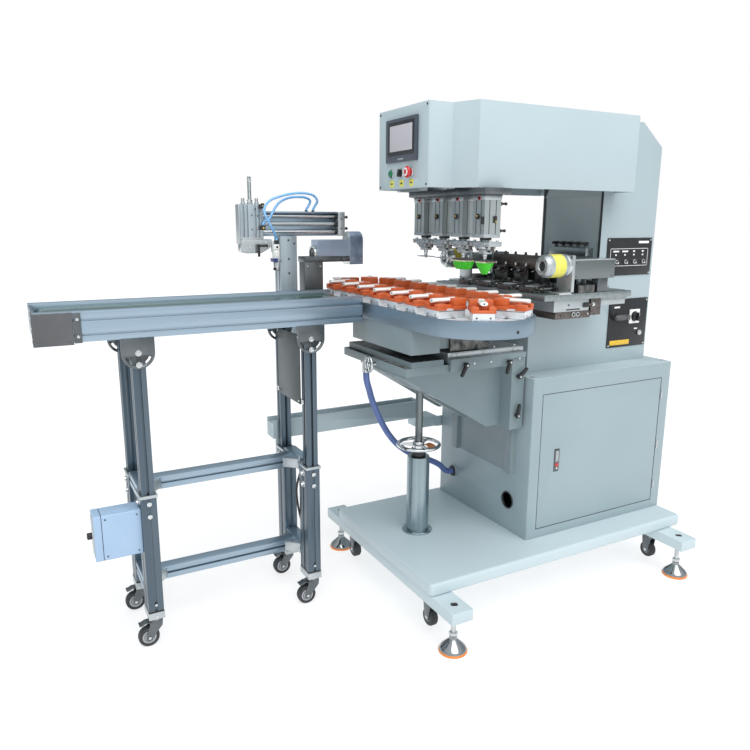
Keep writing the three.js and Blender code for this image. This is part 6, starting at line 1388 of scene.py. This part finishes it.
for z in (516, 188):
    for x in STAND_XS:
        section = slotted(x - 22, x + 22, z - 22, z + 22, [(), (0.5,), (), (0.5,)], 3.8, 7.0, 2.4, 9)
        stand.append(plate("y", section, 482.9, 632.1, anodised_x, 0.7))
    section = slotted(536, 580, z - 22, z + 22, [(0.5,), (0.5,), (), (0.5,)], 3.8, 7.0, 2.4, 9)
    stand.append(plate("x", section, -773.2, -256.8, anodised_x, 0.7))
    for x, way in ((-773, 1), (-257, -1)):
        for side in (-1, 1):
            y = 558 + side * 22
            stand += [plate("z", [(x, y), (x + way * 44, y), (x, y + side * 44)], z - 17, z + 17, silver,
                    1.6), bar("x", 5, min(x + way * 3, x + way * 12), max(x + way * 3, x + way * 12),
                    y + side * 16, z, zinc, 0.8, 6), bar("y", 5, min(y + side * 3, y + side * 12),
                    max(y + side * 3, y + side * 12), x + way * 16, z, zinc, 0.8, 6)]
stand += [bar("z", 2.6, 538, 556, -262, 470, ground, 0.4, 12)]
gather("stand_sockets", stand, "machine", ("stand_frame",))

# %% [markdown]
# A swivel caster is a stem, a pressed fork and a wheel. The fork is folded dark sheet with a brake pedal; the
# wheel is turned, with a crowned tread, a step at the rim and a pale hub.

# %% Casters under the stand
AXLE_Z = 34


def stand_caster(place, x, y):
    wheel_x = x - 26
    cheek = [(wheel_x - 9, 40), (wheel_x - 11, 33), (wheel_x - 8, 25), (wheel_x, 22), (wheel_x + 8, 26),
        (wheel_x + 13, 36), (x + 17, 70), (x + 19, 87), (x - 23, 87), (x - 23, 74), (wheel_x - 4, 62)]
    parts = [plate("y", cheek, y - 18, y - 15, dark, 0.8), plate("y", cheek, y + 15, y + 18, dark, 0.8),
        box(x - 24, x + 19, y - 18, y + 18, 84, 88, dark, 1.0),
        turned("z", [(0, 86), (22, 86.4), (24, 88), (24, 92.6), (22, 94), (0, 94)], 0, x, y, dark, 0.4, 36),
        ring("z", 19, 2.2, 94, x, y, zinc, 36, 8), bar("z", 9.4, 93, 97.8, x, y, zinc, 0.8, 6),
        bar("y", 5.6, y - 21, y - 17.6, wheel_x, AXLE_Z, zinc, 0.9, 6),
        bar("y", 5.6, y + 17.6, y + 21, wheel_x, AXLE_Z, zinc, 0.9, 6)]
    pedal = plate("y", [(x - 23, 83.6), (x - 34, 84), (x - 47, 78.4), (x - 55, 78), (x - 55.4, 81),
            (x - 47, 82), (x - 35, 87.6), (x - 23, 87.6)], y - 14, y + 14, dark, 0.8)
    parts.append(pedal)
    gather("caster_fork_%s_formed" % place, parts, "fork_" + place, ("caster_fork_" + place,))
    tyre = [turned("y", [(6.4, -13), (15, -13), (17, -11.4), (23, -11.4), (24.6, -13.4), (29.6, -14),
                (32.6, -11.6), (33.8, -6), (34, 0), (33.8, 6), (32.6, 11.6), (29.6, 14), (24.6, 13.4),
                (23, 11.4), (17, 11.4), (15, 13), (6.4, 13), (6.4, -13)], y, wheel_x, AXLE_Z, tyre_rubber, 0,
            48)]
    tyre += [turned("y", [(6.5, side * 11.2), (6.5, side * 14.2), (13.6, side * 13.6), (16.4, side * 11.8),
                (22.4, side * 11.6), (22.6, side * 11.0), (6.5, side * 11.0)], y, wheel_x, AXLE_Z, hub_grey,
            0, 40) for side in (-1, 1)]
    gather("caster_wheel_%s_turned" % place, tyre, "wheel_" + place, ("caster_wheel_" + place,))


for place, x, y in (("left_near", -795, 433), ("left_far", -795, 682), ("right_near", -235, 433),
        ("right_far", -235, 682)):
    stand_caster(place, x, y)

# %% [markdown]
# The control box is a pale cast case in two halves with a seam, four corner screws and a black speed knob.

# %% Control box and speed knob
KNOB_Y, KNOB_Z = 462, 408
case = [plate("x", rounded(424, 500, 332, 482, 6), -936.5, -819.3, box_enamel, 1.6, 3),
    plate("x", rounded(424.6, 499.4, 332.6, 481.4, 6), -938, -936.4, black, 0.2),
    plate("x", rounded(424, 500, 332, 482, 6), -960.3, -937.8, box_enamel, 1.8, 3),
    plate("x", rounded(436, 488, 345, 469, 3), -962.3, -960, grey_plate, 0.5)]
case += [bar("x", 2.8, -961.6, -960, y, z, zinc, 0.5, 16) for y in (429.5, 494.5) for z in (337.5, 476.5)]
for z in (346, 468):
    case.append(bar("y", 3.0, 422.8, 424.4, -926, z, dark, 0.5, 16))
    case.append(bar("y", 3.0, 422.8, 424.4, -832, z, dark, 0.5, 16))
case += [plate("z", rounded(-905, -850, 440, 484, 4), 481.6, 483.4, box_enamel, 0.6),
    turned("z", [(0, 320), (6, 320), (9.6, 322), (9.6, 332.4), (0, 332.4)], 0, -880, 462, black, 0.4, 24)]
case += [ring("x", 15, 0.8, -962.6, KNOB_Y, KNOB_Z, white_ink, 36, 6)]
gather("control_case", case, "machine", ("control_box",))
speed = [turned("x", [(0, -978.5), (8.2, -978.5), (9.4, -977), (9.8, -966), (10, -962.9), (0, -962.9)], 0,
        KNOB_Y, KNOB_Z, black, 0.3, 40), bar("x", 3.6, -963.4, -946, KNOB_Y, KNOB_Z, zinc, 0.2, 20),
    box(-979.2, -978.2, 461, 463, 410, 417, white_ink, 0.1)]
for i in range(10):
    a = math.radians(36 * i)
    speed.append(bar("x", 0.9, -977, -964, KNOB_Y + 9.9 * math.cos(a), KNOB_Z + 9.9 * math.sin(a), black, 0.2,
            8))
gather("speed_knob_turned", speed, "speed_knob", ("speed_knob",))

# %% [markdown]
# The pick-and-place unit: a wide profile post, a slide with three bright bars between two end blocks, a
# carriage with the lift cylinder on it, and a ram that carries the gripper on its rotary head.

# %% Post and slide
post_line = slotted(-222, -157, 712.3, 776.3, [()] + [(0.27, 0.73)] * 3, 3.8, 6.6, 2.4, 8)
post = [plate("z", post_line, 940, 1315, post_silver, 0.8), box(-245, -134, 704.3, 712.6, 1035, 1108, silver,
        1.2), plate("x", rounded(694, 742, 1315, 1403, 3), -356, -344, silver, 1.4),
    plate("x", rounded(694, 742, 1315, 1403, 3), 4, 32, silver, 1.6),
    box(-344.4, 4.4, 728, 742, 1315, 1403, anodised_x, 1.2), box(-344.4, 4.4, 696, 730, 1397, 1403,
        anodised_x, 0.8), bar("x", 6, -344.4, 4.4, 710, 1387, chrome, 0, 28),
    bar("x", 6, -344.4, 4.4, 710, 1331, chrome, 0, 28), bar("x", 7.4, -344.4, 4.4, 716, 1359, silver, 0, 28),
    box(-222, -157, 726, 776.3, 1309, 1316, silver, 1.0)]
post += [bar("x", 11 if z != 1359 else 13, -5.6, 4.4, 711, z, black, 1.0, 30) for z in (1331, 1359, 1387)]
for y, z in ((700, 1322), (736, 1322), (700, 1396), (736, 1396), (710, 1373), (710, 1345)):
    post += [bar("x", 2.8, 31.4, 33.0, y, z, dark, 0.4, 14), bar("x", 2.8, -357, -355.5, y, z, dark, 0.4, 14)]
post += [bar("y", 3.2, 692.8, 694.4, 18, z, dark, 0.5, 16) for y, z in ((704, 1342), (704, 1378))]
for z in (1342, 1384):
    post += [bar("x", 5.4, 31, 40, 712, z, black, 0.8, 20), bar("x", 3.2, 39, 43, 712, z, black, 0.4, 14),
        bar("x", 4.6, 42.6, 47, 712, z, black, 0.8, 18), bar("x", 5.6, 46.6, 50, 712, z, black, 1.0, 20)]
post += [bar("y", 5, 712, 717, x, z, zinc, 0.8, 6) for x in (-238, -141) for z in (1048, 1095)]
post += [bar("y", 4.2, 711.2, 713.2, x, z, dark, 0.6, 18) for x, z in ((-190, 1300), (-168, 1288),
        (-190, 1180), (-190, 1232))]
# Elbows where the two air tubes start
for x, y in ((-88, 718), (-110, 730)):
    post += [bar("z", 5.6, 1402.4, 1408, x, y, black, 0.8, 20), bar("z", 4.8, 1396, 1403, x, y, zinc, 0.5, 6)]
gather("pickup_post_dressed", post, "conveyor", ("pickup_post",))

# %% Lift carriage on the slide
lift_line = slotted(-388, -306, 652, 688, [(0.16, 0.32, 0.68, 0.84), (0.5,), (), (0.5,)], 1.6, 3.0, 1.6, 4.5)
lift = [plate("z", lift_line, 1312, 1425, post_silver, 0.6), box(-388, -306, 652, 688, 1306, 1312.4, silver,
        1.0), box(-343, -306, 687.6, 700, 1315.5, 1402.5, silver, 1.6),
    box(-343, -306, 700, 725, 1340, 1379, silver, 1.4), box(-343, -306, 700, 725, 1320, 1326, zinc, 0.6),
    box(-393, -387.6, 654, 690, 1290, 1424, silver, 1.0)]
lift += [bar("y", 2.8, 650.6, 652.4, x, z, dark, 0.5, 16) for x, z in ((-347, 1388), (-326, 1386),
        (-347, 1340), (-326, 1340), (-334, 1410))]
lift += [bar("z", 10.4 if x == -347 else 8.4, 1424.6, 1431, x, 670, silver, 1.0, 32)
    for x in (-371.5, -347, -322.5)]
for u, z in ((-312, 1338), (-312, 1412)):
    lift += [box(u - 8, u + 9.5, 638, 652.4, z, z + 14, black, 1.8),
        bar("z", 4.9, z + 13.6, z + 17, u + 2, 643, black, 0.8, 20)]
lift += [bar("y", 4.4, 636.5, 639, -310, 1345, brass, 0.6, 6),
    bar("y", 4.4, 636.5, 639, -310, 1419, brass, 0.6, 6)]
gather("pickup_carriage_dressed", lift, "pickup_carriage", ("pickup_carriage",))

# %% [markdown]
# The ram's tall rod is threaded, with two flats at the top and a lock nut. Below hangs the wedge-shaped
# plate with its black clamp handle, then the pale rotary head and the dark blue gripper block.

# %% Ram, rotary head and gripper
ROD_X, ROD_Y = -347, 670
GRIP_X, GRIP_Y = -262, 652
thread = []
for i in range(22):
    z = 1441 + 3.1 * i
    thread += [(6.9, z), (6.2, z + 1.5)]
ram_parts = [turned("z", [(0, 1299.5), (6.9, 1299.6)] + thread
        + [(6.9, 1509), (6.4, 1517), (5.6, 1518), (0, 1518)], 0, ROD_X, ROD_Y, milled, 0, 32),
    bar("z", 10, 1431.4, 1441, ROD_X, ROD_Y, zinc, 1.0, 6), box(-353, -341, 663.6, 665, 1500, 1512, ground,
        0.4), bar("z", 6, 1299.5, 1446, -371.5, 670, ground, 1.0, 28),
    bar("z", 6, 1299.5, 1446, -322.5, 670, ground, 1.0, 28)]
wedge = [(-388, 1305.6), (-388, 1262), (-370, 1258), (-318, 1258), (-290, 1272), (-278, 1286), (-278, 1305.6)]
ram_parts += [plate("y", wedge, 646, 688, silver, 1.6, 3), plate("x", rounded(648, 684, 1262, 1302, 4),
        -389.6, -387.6, zinc, 0.6)]
ram_parts += [bar("y", 3.0, 644.4, 646.4, x, z, chrome, 0.5, 16)
    for x, z in ((-380, 1297), (-380, 1268), (-358, 1280), (-342, 1266), (-300, 1296))]
ram_parts += [bar("y", 4.4, 630, 646.4, -330, 1284, black, 0.8, 20),
    bar("x", 3.6, -332, -304, 634, 1284, black, 0.8, 18), bar("x", 5.2, -304, -298, 634, 1284, black, 1.0,
        18), turned("z", [(0, 1246), (3.2, 1246.6), (4.6, 1250), (4.2, 1274), (5, 1284), (5.4, 1289),
            (0, 1290)], 0, -331, 634, black, 0, 24), box(-278.6, -262, 645, 659, 1260, 1300, silver, 1.4),
    turned("z", [(0, 1238), (13, 1238), (14, 1240), (14, 1262), (12.6, 1264), (12.6, 1268), (14, 1270),
            (14, 1285), (11, 1288), (6, 1289), (5.4, 1299), (0, 1300)], 0, GRIP_X, GRIP_Y, white, 0.3, 40),
    box(-270, -255, 640.5, 650, 1290, 1302, black, 1.6), bar("z", 4.9, 1297, 1302.5, -262, 645, black, 0.8,
        20), bar("y", 4.0, 636.4, 640.8, -262, 1279, black, 0.6, 18),
    box(-276, -263, 631, 673, 1226, 1239, dark_blue, 1.2), box(-263, -248, 631, 673, 1226, 1239, silver, 1.2),
    bar("y", 4.6, 634, 670, -262, 1243, chrome, 0.6, 20)]
for side in (-1, 1):
    ram_parts += [box(-267, -257, 652 + side * 14 - 3, 652 + side * 14 + 3, 1196, 1227, zinc, 1.0),
        box(-268.5, -255.5, 652 + side * 13 - 3, 652 + side * 13 + 3, 1196, 1204, black, 1.0)]
    ram_parts += [bar("y", 1.8, 629.6, 631.4, x, 1232.5 + side * 3, black, 0.3, 12) for x in (-259, -252.5)]
gather("pickup_ram_dressed", ram_parts, "pickup_ram", ("pickup_ram",))

# %% [markdown]
# The ink dryer blows warm air over the fresh print. Fine fins run along its case, a guard with radial
# vanes shows at the fan end, and a clouded, arch-shaped cap closes the other. A dark bracket holds it.

# %% Ink dryer
FAN_Y, FAN_Z = 767.5, 1246
fins = []
for i in range(19):
    z = 1240 + 3.1 * i
    fins += [(734.2, z), (734.2, z + 1.9), (735.6, z + 2.0), (735.6, z + 3.0)]
case_line = [(800, 1237), (800, 1298), (735.6, 1298)] + fins[::-1] + [(735.6, 1237)]
dryer = [plate("x", case_line, -62, 73, dryer_silver, 0.2, 1),
    box(-118, 73, 735, 800, 1216, 1237.3, dark, 1.2), box(-62, 73, 735, 800, 1297.5, 1299, dryer_silver, 0.6)]
cap_line = [(733.5, 1204), (801.5, 1204)] + arc_points(FAN_Y, 1296, 34, 0, 180, 24)
dryer += [plate("x", cap_line, 73.5, 130.5, clouded_cap, 3.0, 4),
    plate("x", [(735, 1206), (800, 1206)] + arc_points(FAN_Y, 1295.5, 32.5, 0, 180, 24), 71.5, 75, zinc, 0.6),
    turned("x", [(25, -74), (30.4, -74), (31, -72.6), (31, -62), (25, -62), (25, -74)], 0, FAN_Y, FAN_Z, zinc,
        0.4, 48), turned("x", [(0, -71), (9, -71), (9.6, -69), (9.6, -62), (0, -62)], 0, FAN_Y, FAN_Z, black,
        0.4, 32), turned("x", [(0, -63.4), (26, -63.4), (26, -62), (0, -62)], 0, FAN_Y, FAN_Z, black, 0, 40)]
for i in range(12):
    vane = box(-72, -64, 766.9, 768.1, 1254, 1272, zinc, 0.2)
    reshape(vane, Matrix.Rotation(math.radians(30 * i), 4, "X"), at(0, FAN_Y, FAN_Z))
    dryer.append(vane)
dryer += [box(-118, -42, 704.3, 790, 1048, 1108, bracket, 1.2),
    box(-118, -42, 735, 790, 1106, 1217, bracket, 1.4)]
for x in (-106, -54):
    dryer += [bar("z", 4.2, 1107.6, 1111, x, 716, zinc, 0.8, 6),
        bar("y", 4.2, 731, 734, x, 1200, zinc, 0.7, 6)]
dryer += [box(40, 66, 731.5, 735.4, 1220, 1232, dark, 0.8)]
dryer += [bar("y", 2.8, 732, 734.4, x, 1226, zinc, 0.5, 14) for x in (84, 120)]
gather("ink_dryer_dressed", dryer, "conveyor", ("ink_dryer",))

# %% [markdown]
# Patterns that were only copied from, such as the first carrier, are cleared away.

# %% Clearing the patterns
for stray in [o for o in bpy.data.objects if o.type == "MESH" and not body_of(o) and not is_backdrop(o)]:
    print("cleared", stray.name)
    bpy.data.objects.remove(stray)
